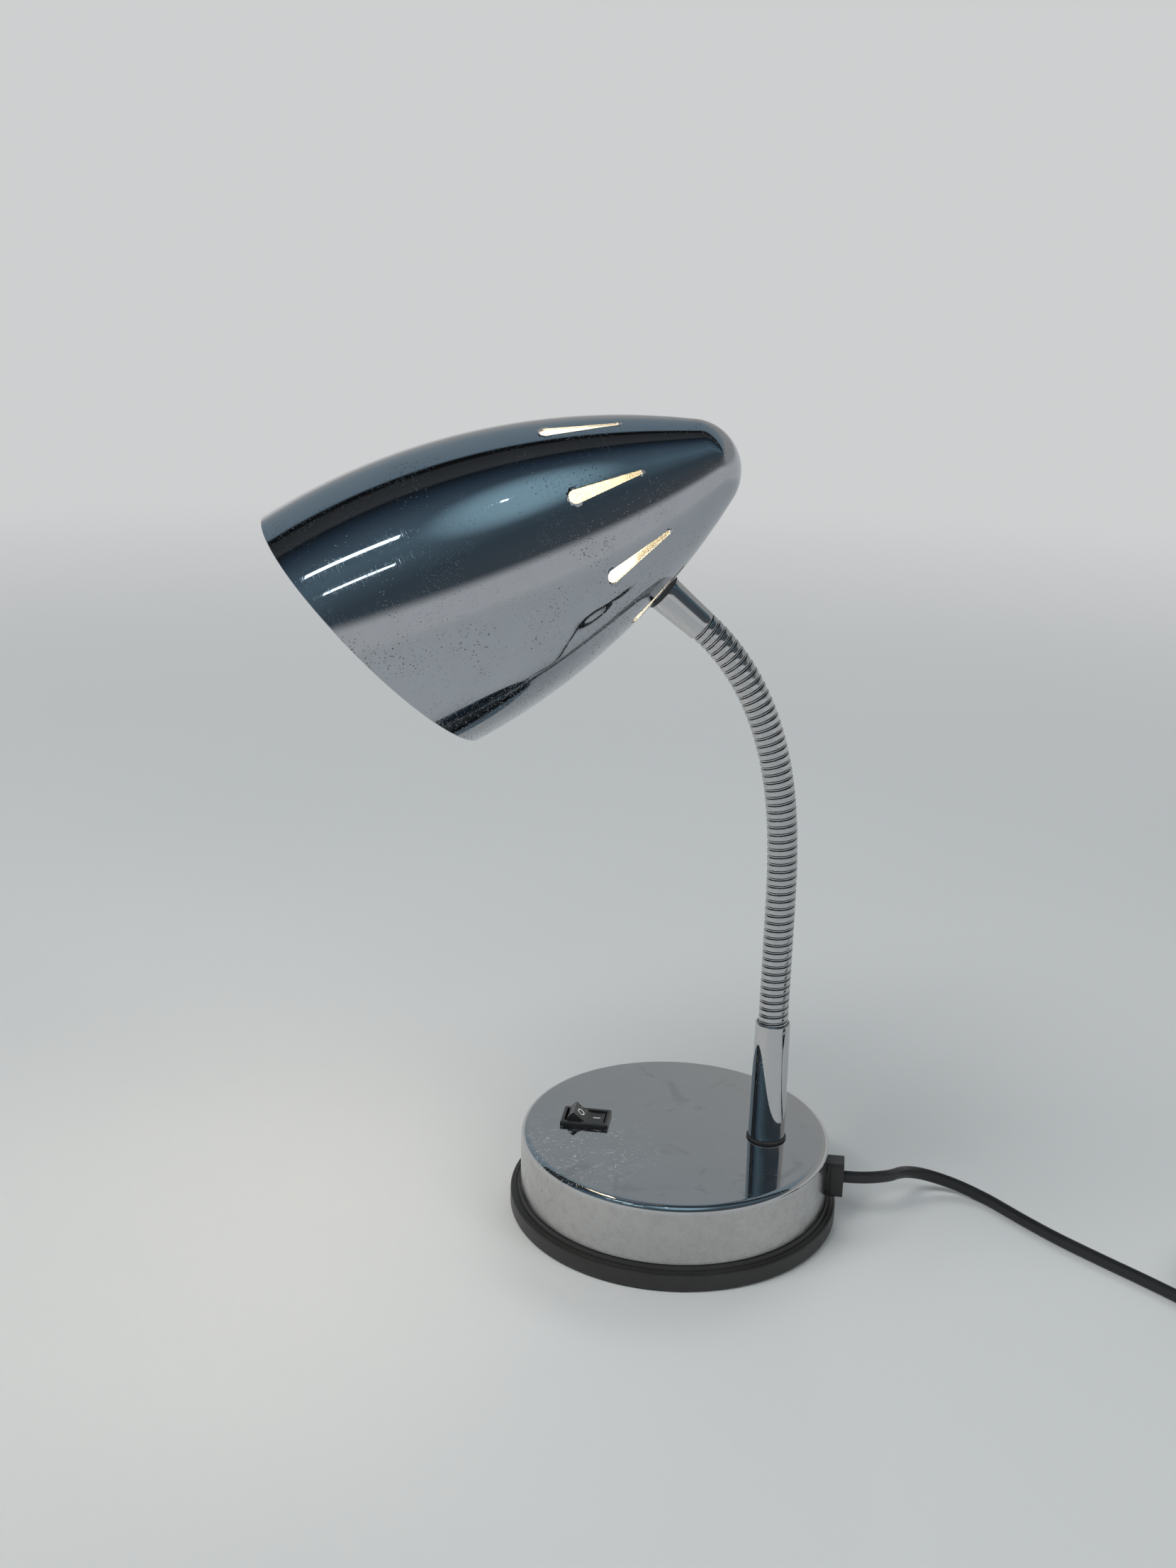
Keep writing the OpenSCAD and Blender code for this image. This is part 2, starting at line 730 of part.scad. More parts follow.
// ---------------------------------------------------------------- neck

// Outline of a wide band that fills the turn above height z
function wide_band(z) = [
    [neck_r - band_chamfer, z + band_gap], [neck_r, z + band_gap + band_chamfer],
    [neck_r, z + turn_pitch - band_gap - band_chamfer],
    [neck_r - band_chamfer, z + turn_pitch - band_gap]];

// Outline of the narrow band that shows between two wide ones at height z
function thin_band(z) = [
    [groove_r, z - groove_half], [ball_r, z - thin_band_half],
    [ball_r, z + thin_band_half], [groove_r, z + groove_half]];

// Outline of the ball at the top of a link, with its centre at height z
function ball_zone(z) = concat([[groove_r, z - groove_half]],
    arc(0, z, ball_r, -asin((groove_half - ball_skirt) / ball_r), asin(ball_top / ball_r), 7));

// Outline of the socket at the foot of a link, from its roof down to its lip
function socket_zone(z) = arc(0, z, socket_r, asin(socket_top / socket_r),
    asin(band_gap / socket_r), 7);

module link_profile() {
    polygon(concat(
        [[neck_bore_r, socket_top]], socket_zone(0),
        [for (i = [0:turns_per_link - 1])
            each concat(i > 0 ? thin_band(i * turn_pitch) : [], wide_band(i * turn_pitch))],
        ball_zone(link_len), [[neck_bore_r, link_len + ball_top]]));
}

module neck_link(k) {
    color("silver") in_link(k) rotate_extrude() link_profile();
}

// ---------------------------------------------------------------- head

// Fitting at the shade end: a socket over the last ball, then a threaded tube
module neck_head_fitting() {
    flange_z = seal_z - flange_h;
    color("gainsboro") in_head() rotate_extrude() polygon(concat(
        [[neck_bore_r, socket_top]], socket_zone(0),
        wide_band(0), [thin_band(turn_pitch)[0], thin_band(turn_pitch)[1]],
        [[ball_r, collar_z], [collar_bore_r - fit, collar_z], [collar_bore_r - fit, flange_z],
         [tube_r, flange_z], [tube_r, head_tube_top], [tube_bore_r, head_tube_top],
         [tube_bore_r, socket_top + bore_step]]));
}

module head_collar() {
    edge = collar_edge;
    color("silver") in_head() translate([0, 0, collar_z]) difference() {
        rotate_extrude() polygon(concat(
            [[0, 0]], arc(collar_neck_d / 2 - edge, edge, edge, -90, 0, 4),
            [[collar_shade_d / 2, collar_len], [0, collar_len]]));
        translate([0, 0, -over]) cylinder(r = collar_bore_r, h = collar_len - flange_h + over);
        cylinder(r = tube_r + fit, h = 2 * collar_len);
    }
}

// Solid bounded by the shade's outline, inset by the thickness of its wall
module shade_form(inset) {
    low_a = -asin(shade_reach / shade_arc_r);
    nose_step = (90 - join_a) / nose_steps;
    rotate_extrude() polygon(concat([[0, -shade_reach]],
        arc(arc_x, 0, shade_arc_r - inset, low_a, join_a, side_steps),
        arc(0, nose_z, nose_r - inset, join_a + nose_step, 90, nose_steps - 1)));
}

module mouth_cut() {
    translate([0, 0, -mouth_drop]) rotate([0, -mouth_tilt, 0])
        translate([-mouth_block / 2, -mouth_block / 2, -mouth_block])
            cube([mouth_block, mouth_block, mouth_block]);
}

module shade() {
    color("silver") in_shade() difference() {
        shade_form(0);
        shade_form(shade_t);
        mouth_cut();
        for (i = [0:slots - 1]) on_outline(slot_shift + i * 360 / slots, slot_a)
            translate([shade_arc_r - wall_cut, 0, 0]) rotate([0, 90, 0])
                linear_extrude(2 * wall_cut) polygon(teardrop(slot_len, slot_wide_r, slot_tip_r));
        on_outline(0, collar_a) translate([shade_arc_r - wall_cut, 0, 0]) rotate([0, 90, 0])
            cylinder(r = tube_r + fit, h = 2 * wall_cut);
    }
}

// Soft ring between the collar and the shade, shaped to the shade's outside
module collar_seal() {
    color("#111111") difference() {
        in_head() translate([0, 0, seal_z])
            cylinder(r = collar_shade_d / 2 + seal_out, h = blank_len);
        in_head() translate([0, 0, seal_z - over])
            cylinder(r = tube_r + fit, h = blank_len + 2 * over);
        in_shade() shade_form(0, $fn = close_fn);
    }
}

// Washer inside the shade, shaped to the shade's inside on one face
module shade_saddle() {
    color("lightgray") intersection() {
        in_head() translate([0, 0, contact_z]) difference() {
            cylinder(r = saddle_r, h = strap_z - contact_z);
            translate([0, 0, -over]) cylinder(r = tube_r + fit, h = blank_len + 2 * over);
        }
        in_shade() shade_form(shade_t, $fn = close_fn);
    }
}

module shade_nut() {
    color("gainsboro") in_head() translate([0, 0, head_nut_z]) hex_nut();
}

// Bent steel strap that carries the lampholder on the shade's axis
module holder_strap() {
    mid = shade_arc_r - (strap_z + strap_t / 2 - contact_z);
    start = [arc_x + mid * cos(collar_a), mid * sin(collar_a)];
    up = [-sin(collar_a), cos(collar_a)];
    // The strap's bend is where its first leg reaches the lampholder's level
    run = (strap_level - start[1]) / up[1];
    bend = start + up * run;
    color("gainsboro") in_shade() difference() {
        rotate([90, 0, 0]) translate([0, 0, -strap_w / 2]) linear_extrude(strap_w) union() {
            flat_bar(start - up * (hex_r + strap_spare), bend, strap_t);
            flat_bar(bend, [-hex_r - strap_spare, strap_level], strap_t);
            translate(bend) circle(r = strap_t / 2, $fn = thin_fn);
        }
        on_outline(0, collar_a) translate([mid - strap_t, 0, 0]) rotate([0, 90, 0])
            cylinder(r = tube_r + fit, h = 2 * strap_t);
        translate([0, 0, strap_level - strap_t]) cylinder(r = tube_r + fit, h = 2 * strap_t);
    }
}

// Rectangle of a given thickness along the line from a to b
module flat_bar(a, b, t) {
    d = unit(b - a);
    n = [-d[1], d[0]] * t / 2;
    polygon([a - n, b - n, b + n, a + n]);
}

module holder_cap() {
    r = holder_d / 2;
    color("#e9e4d8") in_shade() rotate_extrude() polygon(concat(
        [[tube_bore_r, holder_top + holder_nipple_h], [tube_r, holder_top + holder_nipple_h],
         [tube_r, holder_top]],
        [[holder_neck_r, holder_top]],
        arc(r - dome_r, holder_top - dome_drop, dome_r, 60, 0, 5),
        [[r, holder_top - holder_cap_h], [r - holder_wall, holder_top - holder_cap_h],
         [r - holder_wall, holder_top - dome_drop], [tube_bore_r, holder_top - holder_roof]]));
}

module holder_body() {
    r = holder_d / 2;
    top = holder_top - holder_cap_h;
    low = holder_front + ring_h;
    color("#e9e4d8") in_shade() rotate_extrude() polygon([
        [holder_bore_r, holder_front], [r - holder_edge, holder_front],
        [r, holder_front + holder_edge], [r, low], [r - ring_groove, low + ring_groove / 2],
        [r - ring_groove, low + 2.5 * ring_groove], [r, low + 3 * ring_groove], [r, top],
        [contact_hole_r, top], [contact_hole_r, holder_floor], [holder_bore_r, holder_floor]
    ]);
}

module holder_shell() {
    r = shell_in_r + shell_wall;
    color("goldenrod") in_shade() rotate_extrude() polygon([
        [shell_in_r, holder_front + shell_inset], [r, holder_front + shell_inset],
        [r, holder_floor], [r - shell_lip - shell_wall, holder_floor],
        [r - shell_lip - shell_wall, holder_floor - shell_wall],
        [shell_in_r, holder_floor - shell_wall]
    ]);
}

module holder_tongue() {
    color("goldenrod") in_shade() translate([0, 0, tongue_z]) {
        cylinder(r = tongue_r, h = tongue_t);
        cylinder(r = tongue_post_r, h = tongue_t + tongue_post_h);
    }
}

module holder_nut() {
    color("gainsboro") in_shade() translate([0, 0, holder_top + strap_t]) hex_nut();
}

module holder_lead() {
    start = [for (deep = holder_lead_start) let (r = shade_arc_r - deep)
        [arc_x + r * cos(collar_a), 0, r * sin(collar_a)]];
    rest = [for (q = holder_lead_route) q + [0, 0, strap_level]];
    color("royalblue") in_shade() swept_tube(concat(start, rest), 2 * lead_r, 2 * lead_r, 8);
}

// Lamp glass: a ball that runs out through a waist into the cap
function glass_side(r, neck) = let (
    side = r * cos(waist_a),
    low = glass_mid + r * sin(waist_a),
    waist = [for (i = [1:6]) let (u = i / 6, eased = (3 * u * u * (3 - 2 * u) + u) / 4)
        [side + (neck - side) * eased, low + (glass_top - low) * u]])
    concat(arc(0, glass_mid, r, -90, waist_a, 20), waist);

module bulb_glass() {
    outside = glass_side(bulb_r, glass_neck_r);
    inside = glass_side(bulb_r - glass_t, glass_neck_r - glass_t);
    last = len(inside) - 1;
    color("#fff3dc") in_shade() rotate_extrude()
        polygon(concat(outside, [for (i = [0:last]) inside[last - i]]));
}

module bulb_cap() {
    neck_end = glass_top + cap_neck_h;
    end = glass_top + cap_h;
    in_r = cap_r - cap_wall;
    color("silver") in_shade() rotate_extrude() polygon([
        [glass_neck_r - glass_t, glass_top], [glass_neck_r, glass_top],
        [glass_neck_r, neck_end], [cap_r, neck_end + 1], [cap_r, end],
        [cap_r - cap_slope, end + cap_slope], [contact_r, end + cap_slope],
        [contact_r, end + cap_slope / 2], [in_r - cap_slope, end + cap_slope / 2],
        [in_r, end - cap_slope / 2], [in_r, neck_end + 1], [glass_neck_r - glass_t, neck_end]
    ]);
}

module bulb_contact() {
    // Black insulator that narrows to the solder button on the end
    color("#222222") in_shade() translate([0, 0, glass_top + cap_h + cap_slope / 2])
        rotate_extrude() polygon([[0, 0], [contact_r, 0], [contact_r, 0.37 * contact_h],
            [0.6 * contact_r, 0.73 * contact_h], [0.3 * contact_r, 0.93 * contact_h],
            [0, contact_h]]);
}

// ---------------------------------------------------------------- mains cord

module power_cord() {
    color("#0d0d0d") swept_tube(cord_route, cord_w, cord_t, 10);
}

module cord_coil() {
    color("#0d0d0d") translate([coil_x, coil_y, 0]) difference() {
        cylinder(d = coil_d, h = coil_h);
        translate([0, 0, -over]) cylinder(d = coil_bore_d, h = coil_h + 2 * over);
    }
}

// Where the cord leaves its coil for the plug: X runs along the tail
module at_tail() {
    translate([coil_x, coil_y, 0]) rotate([0, 0, coil_leave])
        translate([(coil_d - cord_t) / 2, 0, 0]) rotate([0, 0, 90]) children();
}

module cord_tail() {
    z = cord_w / 2;
    color("#0d0d0d") at_tail() swept_tube([[tail_start, 0, z], [tail_start + tail_len / 2, 0, z],
        [tail_start + tail_len, 0, z]], cord_w, cord_t, 10);
}

module coil_tie() {
    ring = (coil_d - coil_bore_d) / 2;
    color("#202020") translate([coil_x, coil_y, 0]) rotate([0, 0, tie_turn])
        translate([coil_bore_d / 2, tie_w / 2, 0]) rotate([90, 0, 0]) linear_extrude(tie_w)
            difference() {
                translate([-tie_t - fit, 0]) square([ring + 2 * (tie_t + fit), coil_h + tie_t]);
                translate([-fit, -over]) square([ring + 2 * fit, coil_h + over]);
            }
}

// The plug's pieces stand along the tail's line, from the tail's end
module at_plug() {
    at_tail() translate([tail_start + tail_len, 0, 0]) children();
}

module plug_body() {
    head = plug_nose_l + plug_taper;
    color("#0f0f0f") at_plug() difference() {
        union() {
            hull() {
                translate([0, -cord_t / 2 - plug_wall, 0])
                    cube([nose_edge, cord_t + 2 * plug_wall, cord_w + plug_wall]);
                translate([plug_nose_l, -nose_t / 2, 0]) cube([nose_edge, nose_t, nose_t]);
            }
            hull() {
                translate([plug_nose_l - 1, -nose_t / 2, 0]) cube([1, nose_t, nose_t]);
                translate([head, -plug_w / 2 + plug_round, 0])
                    cube([1, plug_w - 2 * plug_round, plug_t - 1]);
            }
            hull() {
                plug_slab(head, plug_nose_l + plug_l, plug_w - 2, plug_round);
                plug_slab(head + plug_bevel, plug_nose_l + plug_l - plug_bevel, plug_w, plug_round);
            }
        }
        plug_pin_bars(pin_r + fit);
    }
}

module plug_slab(from, to, w, r) {
    translate([from, 0, plug_t / 2]) rotate([90, 0, 90])
        linear_extrude(to - from) polygon(round_rect(w, plug_t, r));
}

module plug_pin_bars(r) {
    for (side = [-1, 1])
        translate([plug_nose_l + plug_l - pin_root, side * pin_pitch / 2, plug_t / 2])
            rotate([0, 90, 0]) cylinder(r = r, h = pin_root + pin_len, $fn = thin_fn);
}

module plug_pins() {
    color("silver") at_plug() plug_pin_bars(pin_r);
}

// ---------------------------------------------------------------- which node to draw

base_cover();
base_tray();
base_pad();
ballast_weight();
base_screws();
cover_pillars();
switch_housing();
switch_rocker();
switch_terminals();
cord_bushing();
switch_lead();
neck_lead();
column_sleeve();
column_gasket();
column_washer();
column_nut();
neck_foot_fitting();
for (k = [1:links]) neck_link(k);
neck_head_fitting();
head_collar();
collar_seal();
shade();
shade_saddle();
shade_nut();
holder_strap();
holder_nut();
holder_cap();
holder_body();
holder_shell();
holder_tongue();
holder_lead();
bulb_glass();
bulb_cap();
bulb_contact();
power_cord();
cord_coil();
cord_tail();
coil_tie();
plug_body();
plug_pins();
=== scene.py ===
"""Looks of the gooseneck desk lamp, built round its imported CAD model. Metres, +Z up."""

import json
from math import acos, asin, atan2, cos, degrees, exp, hypot, pi, radians, sin, sqrt, tan

import bpy
from mathutils import Matrix, Vector
from mathutils.geometry import delaunay_2d_cdt


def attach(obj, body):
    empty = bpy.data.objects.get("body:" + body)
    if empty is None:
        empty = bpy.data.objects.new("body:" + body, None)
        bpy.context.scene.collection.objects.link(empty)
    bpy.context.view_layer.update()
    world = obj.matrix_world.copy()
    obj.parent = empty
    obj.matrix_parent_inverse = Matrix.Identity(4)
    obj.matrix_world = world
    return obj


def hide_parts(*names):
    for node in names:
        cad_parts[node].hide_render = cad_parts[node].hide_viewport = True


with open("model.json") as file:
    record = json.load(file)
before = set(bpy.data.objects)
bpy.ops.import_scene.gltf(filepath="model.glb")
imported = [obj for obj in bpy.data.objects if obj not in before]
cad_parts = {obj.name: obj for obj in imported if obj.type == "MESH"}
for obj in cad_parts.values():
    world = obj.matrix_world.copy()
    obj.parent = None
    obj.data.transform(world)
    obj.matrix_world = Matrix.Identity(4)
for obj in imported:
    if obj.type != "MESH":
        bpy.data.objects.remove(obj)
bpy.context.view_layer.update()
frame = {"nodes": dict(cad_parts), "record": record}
nodes = frame["nodes"]
materials = {}
MM = 0.001
UP = Vector((0, 0, 1))

# ---- camera


def linked(name, data):
    """A new object of the scene."""
    obj = bpy.data.objects.new(name, data)
    bpy.context.scene.collection.objects.link(obj)
    return obj


def make_camera():
    """Camera at the viewing angle of the original picture."""
    pitch, yaw, roll = (radians(a) for a in (17.333, 7.74, 1.529))
    ahead = Vector((-sin(yaw) * cos(pitch), cos(yaw) * cos(pitch), -sin(pitch)))
    side = Vector((cos(yaw), sin(yaw), 0))
    up = side.cross(ahead)
    right = cos(roll) * side + sin(roll) * up
    upright = cos(roll) * up - sin(roll) * side
    data = bpy.data.cameras.new("main_camera")
    data.sensor_width = 36
    data.lens = 40.69
    camera = linked("main_camera", data)
    turn = Matrix((right, upright, -ahead)).transposed().to_4x4()
    camera.matrix_world = Matrix.Translation((0.0516, -0.6889, 0.4062)) @ turn
    bpy.context.scene.camera = camera


make_camera()

# ---- mesh helpers


def make_object(name, verts, faces, material, smooth=True):
    mesh = bpy.data.meshes.new(name)
    mesh.from_pydata(verts, [], faces)
    mesh.validate()
    obj = linked(name, mesh)
    mesh.materials.append(materials[material])
    if smooth:
        mesh.polygons.foreach_set("use_smooth", [True] * len(mesh.polygons))
    return obj


def crease(obj, angle):
    obj.data.set_sharp_from_angle(angle=radians(angle))


def arc(cx, cy, r, start, end, count):
    """Points of an arc, angles in degrees."""
    turns = (radians(start + (end - start) * i / count) for i in range(count + 1))
    return [(cx + r * cos(a), cy + r * sin(a)) for a in turns]


def lathe(profile, place, sides, shift=0):
    """Vertices and faces of a closed outline of (radius, height) in millimetres, turned about Z."""
    verts, faces, rings = [], [], []
    for r, z in profile:
        if r < 1e-6:
            rings.append([len(verts) + shift] * sides)
            verts.append(place @ Vector((0, 0, z)))
            continue
        rings.append([len(verts) + shift + i for i in range(sides)])
        for i in range(sides):
            a = 2 * pi * i / sides
            verts.append(place @ Vector((r * cos(a), r * sin(a), z)))
    for here, there in zip(rings, rings[1:] + rings[:1]):
        for i in range(sides):
            n = (i + 1) % sides
            face = [here[i], here[n], there[n], there[i]]
            face = [v for j, v in enumerate(face) if v != face[j - 1]]
            if len(face) > 2:
                faces.append(tuple(face))
    return verts, faces


def stand_in(obj, body, slot, *replaced):
    """obj rides on a body and shows instead of CAD nodes."""
    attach(obj, body)
    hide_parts(*replaced)


def turned_object(name, profile, place, sides, material):
    verts, faces = lathe(profile, place, sides)
    return make_object(name, [v * MM for v in verts], faces, material)


def solid(name, profile, place, slot, body, node):
    """A turned piece instead of a CAD node."""
    obj = turned_object(name, profile, place, 128, slot)
    crease(obj, 35)
    stand_in(obj, body, slot, node)


def cut(obj, cutters, operation="DIFFERENCE"):
    """Cuts the cutters out of obj, or joins them to it, for good."""
    for tool in cutters:
        boolean = obj.modifiers.new("cut", "BOOLEAN")
        boolean.object = tool
        boolean.operation = operation
        boolean.solver = "EXACT"
    bpy.context.view_layer.update()
    done = bpy.data.meshes.new_from_object(obj.evaluated_get(bpy.context.evaluated_depsgraph_get()))
    obj.modifiers.clear()
    obj.data = done
    for tool in cutters:
        bpy.data.objects.remove(tool)


def set_normals(obj, normal_at):
    """Gives each corner the true normal of the surface: normal_at(point, face normal), in millimetres."""
    mesh = obj.data
    normals = []
    for face in mesh.polygons:
        for corner in face.loop_indices:
            point = mesh.vertices[mesh.loops[corner].vertex_index].co / MM
            normals.append(normal_at(point, face.normal).normalized())
    mesh.polygons.foreach_set("use_smooth", [True] * len(mesh.polygons))
    mesh.normals_split_custom_set(normals)


# ---- sizes and frames, as in part.scad (millimetres)

COLUMN_X = 39.4
ARM_TURN = 10.6
COLUMN_Z = 37.2
COLUMN_TOP = 90.0
NECK_R = 6.25
PITCH = 3.23
LINKS = 18
LINK_LEN = 3 * PITCH
NECK_BEND = 50
NECK_STRAIGHT = 43
FOOT_STUB = 1.2
HEAD_STUB = PITCH + 0.65
NECK_LEN = FOOT_STUB + LINKS * LINK_LEN + HEAD_STUB
BALL_TOP = 1.9
TUBE_R = 5
TUBE_BORE = 3.4
COLLAR_LEN = 20.3
SEAL_Z = HEAD_STUB + COLLAR_LEN
CONTACT_Z = SEAL_Z + 0.9
HEAD_TUBE_TOP = CONTACT_Z + 9.5
SHADE_ARC = 263
SHADE_R = 57.5
ARC_X = SHADE_R - SHADE_ARC
SHADE_T = 0.8
SHADE_LEN = 150
NOSE_R = (ARC_X ** 2 + SHADE_LEN ** 2 - SHADE_ARC ** 2) / (2 * (SHADE_LEN - SHADE_ARC))
NOSE_Z = SHADE_LEN - NOSE_R
JOIN_A = atan2(NOSE_Z, -ARC_X)
COLLAR_A = asin(101 / SHADE_ARC)
SLOT_A = asin(100.6 / SHADE_ARC)
SLOTS = 8
MOUTH_DROP = 5.7
MOUTH_SLOPE = tan(radians(17.4))
COVER_R = 66.5
BASE_H = 36
COVER_ROUND = 3
SHEET_T = 0.8
COVER_LIFT = 9.8
BUSHING_X = COVER_R - 7
EXIT_Z = 20
SWITCH_X = 39
PIVOT_Z = 34.5
ROCKER_R = 8.6
ROCKER_TILT = 18


def turned(angle, axis):
    return Matrix.Rotation(radians(angle), 4, axis)


def moved(x, y, z):
    return Matrix.Translation((x, y, z))


def lean(s):
    """Heading of the neck from upright, in radians, at a distance above the column."""
    part = max(0.0, s - NECK_STRAIGHT) / (NECK_LEN - NECK_STRAIGHT)
    return radians(NECK_BEND) * part * part


def link_foot(k):
    """Where link k + 1 starts, in the arm's plane."""
    x, z = 0.0, COLUMN_TOP + FOOT_STUB
    for i in range(1, k + 1):
        a = lean(FOOT_STUB + (i - 0.5) * LINK_LEN)
        x -= LINK_LEN * sin(a)
        z += LINK_LEN * cos(a)
    return x, z


IN_ARM = moved(COLUMN_X, 0, 0) @ turned(ARM_TURN, "Z")
IN_HEAD = IN_ARM @ moved(link_foot(LINKS)[0], 0, link_foot(LINKS)[1]) @ turned(-NECK_BEND, "Y")
IN_SHADE = (IN_HEAD @ moved(0, 0, CONTACT_Z + SHADE_ARC) @ turned(90 + degrees(COLLAR_A), "Y")
            @ moved(-ARC_X, 0, 0))


def in_link(k):
    x, z = link_foot(k - 1)
    angle = degrees(lean(FOOT_STUB + (k - 0.5) * LINK_LEN))
    return IN_ARM @ moved(x, 0, z) @ turned(-angle, "Y")


# ---- material helpers


class Graph:
    """A node tree, a new material's unless one is given, with short calls for the nodes it uses."""

    def __init__(self, name, tree=None):
        if tree:
            self.tree = tree
            self.place = self.add("TexCoord").outputs["Generated"]
            return
        self.material = materials[name] = bpy.data.materials.new(name)
        self.material.use_nodes = True
        self.tree = self.material.node_tree
        self.shader = self.tree.nodes["Principled BSDF"]
        self.place = self.add("TexCoord").outputs["Object"]

    def feed(self, socket, value):
        """Links a socket to another one, or gives it a constant."""
        if isinstance(value, bpy.types.NodeSocket):
            self.tree.links.new(value, socket)
        else:
            socket.default_value = value

    def add(self, kind, inputs=None, **settings):
        node = self.tree.nodes.new("ShaderNode" + kind)
        for key, value in settings.items():
            setattr(node, key, value)
        for key, value in (inputs or {}).items():
            self.feed(node.inputs[key], value)
        return node

    def noise(self, scale, detail=4, rough=0.55, place=None, distortion=0.0):
        return self.add("TexNoise", {"Vector": place or self.place, "Scale": scale, "Detail": detail,
                                     "Roughness": rough, "Distortion": distortion}).outputs["Fac"]

    def cells(self, scale, feature="F1"):
        return self.add("TexVoronoi", {"Vector": self.place, "Scale": scale}, feature=feature).outputs["Distance"]

    def stretched(self, scale, turn=(0, 0, 0)):
        return self.add("Mapping", {"Vector": self.place, "Scale": scale, "Rotation": turn}).outputs["Vector"]

    def ramp(self, value, low, high, start=0.0, end=1.0, soft=False):
        """Goes from start to end as value goes from low to high."""
        kind = "SMOOTHSTEP" if soft else "LINEAR"
        return self.add("MapRange", {"Value": value, "From Min": low, "From Max": high, "To Min": start, "To Max": end},
                        interpolation_type=kind).outputs["Result"]

    def dot(self, way, place=None):
        return self.add("VectorMath", {0: place or self.place, 1: tuple(way)}, operation="DOT_PRODUCT").outputs["Value"]

    def math(self, operation, a, b=0.5):
        return self.add("Math", {0: a, 1: b}, operation=operation).outputs[0]

    def plus(self, a, b):
        return self.math("ADD", a, b)

    def times(self, a, b):
        return self.math("MULTIPLY", a, b)

    def most(self, a, b):
        return self.math("MAXIMUM", a, b)

    def mix(self, amount, a, b):
        return self.add("Mix", {"Factor": amount, 6: a, 7: b}, data_type="RGBA").outputs[2]

    def bump(self, height, depth, strength=1.0, after=None):
        inputs = {"Height": height, "Distance": depth, "Strength": strength}
        if after:
            inputs["Normal"] = after
        return self.add("Bump", inputs).outputs["Normal"]

    def dent(self, marks, depth, after):
        return self.bump(self.times(marks, -1.0), depth, after=after)

    def set(self, **values):
        """Sets the shader's sockets: base_color=..., roughness=..."""
        for key, value in values.items():
            self.feed(self.shader.inputs[key.replace("_", " ").title()], value)


def rgb(r, g, b):
    return (r, g, b, 1.0)


# ---- materials


def chrome(name, tint, pits=0.4, scratches=0.5, dull=0.0, wear=None):
    """Chrome plate: mirror with soft smudges, short fine scratches and pits through the plate."""
    g = Graph(name)
    patches = g.ramp(g.noise(22, 5, 0.6), 0.42, 0.66)
    smudge = g.ramp(g.noise(65, 6, 0.65, distortion=0.6), 0.4, 0.75)
    lines = None
    for scale, turn in (((40, 900, 900), (0, 0, 0.5)), ((900, 45, 900), (0.4, 0, 0.2)),
                        ((900, 900, 38), (0.2, 0.3, 0))):
        line = g.ramp(g.noise(1.0, 2, 0.5, g.stretched(scale, turn)), 0.70, 0.76)
        lines = line if lines is None else g.most(lines, line)
    lines = g.times(lines, patches)
    specks = g.times(g.ramp(g.cells(620), 0.17, 0.09), g.ramp(g.noise(30, 3, 0.6), 0.5, 0.72))
    fine = g.times(g.ramp(g.cells(1500), 0.2, 0.1), g.ramp(g.noise(48, 3, 0.6), 0.48, 0.7))
    marks = g.times(g.most(specks, fine), pits)
    colour = g.mix(marks, rgb(*tint), rgb(*(0.28 * c for c in tint)))
    colour = g.mix(g.times(smudge, 0.22), colour, rgb(*(0.8 * c for c in tint)))
    rough = g.plus(g.ramp(smudge, 0, 1, 0.018 + dull, 0.06 + dull), g.times(lines, 0.22 * scratches))
    rough = g.plus(rough, g.times(marks, 0.35))
    dent = g.bump(g.times(lines, -scratches), 0.00002)
    dent = g.dent(marks, 0.00006, dent)
    wave = g.bump(g.noise(9, 2, 0.5), 0.00012, 0.35, after=dent)
    g.set(base_color=colour, metallic=1.0, roughness=rough, normal=wave)
    if wear:
        wear(g, colour, rough, wave)


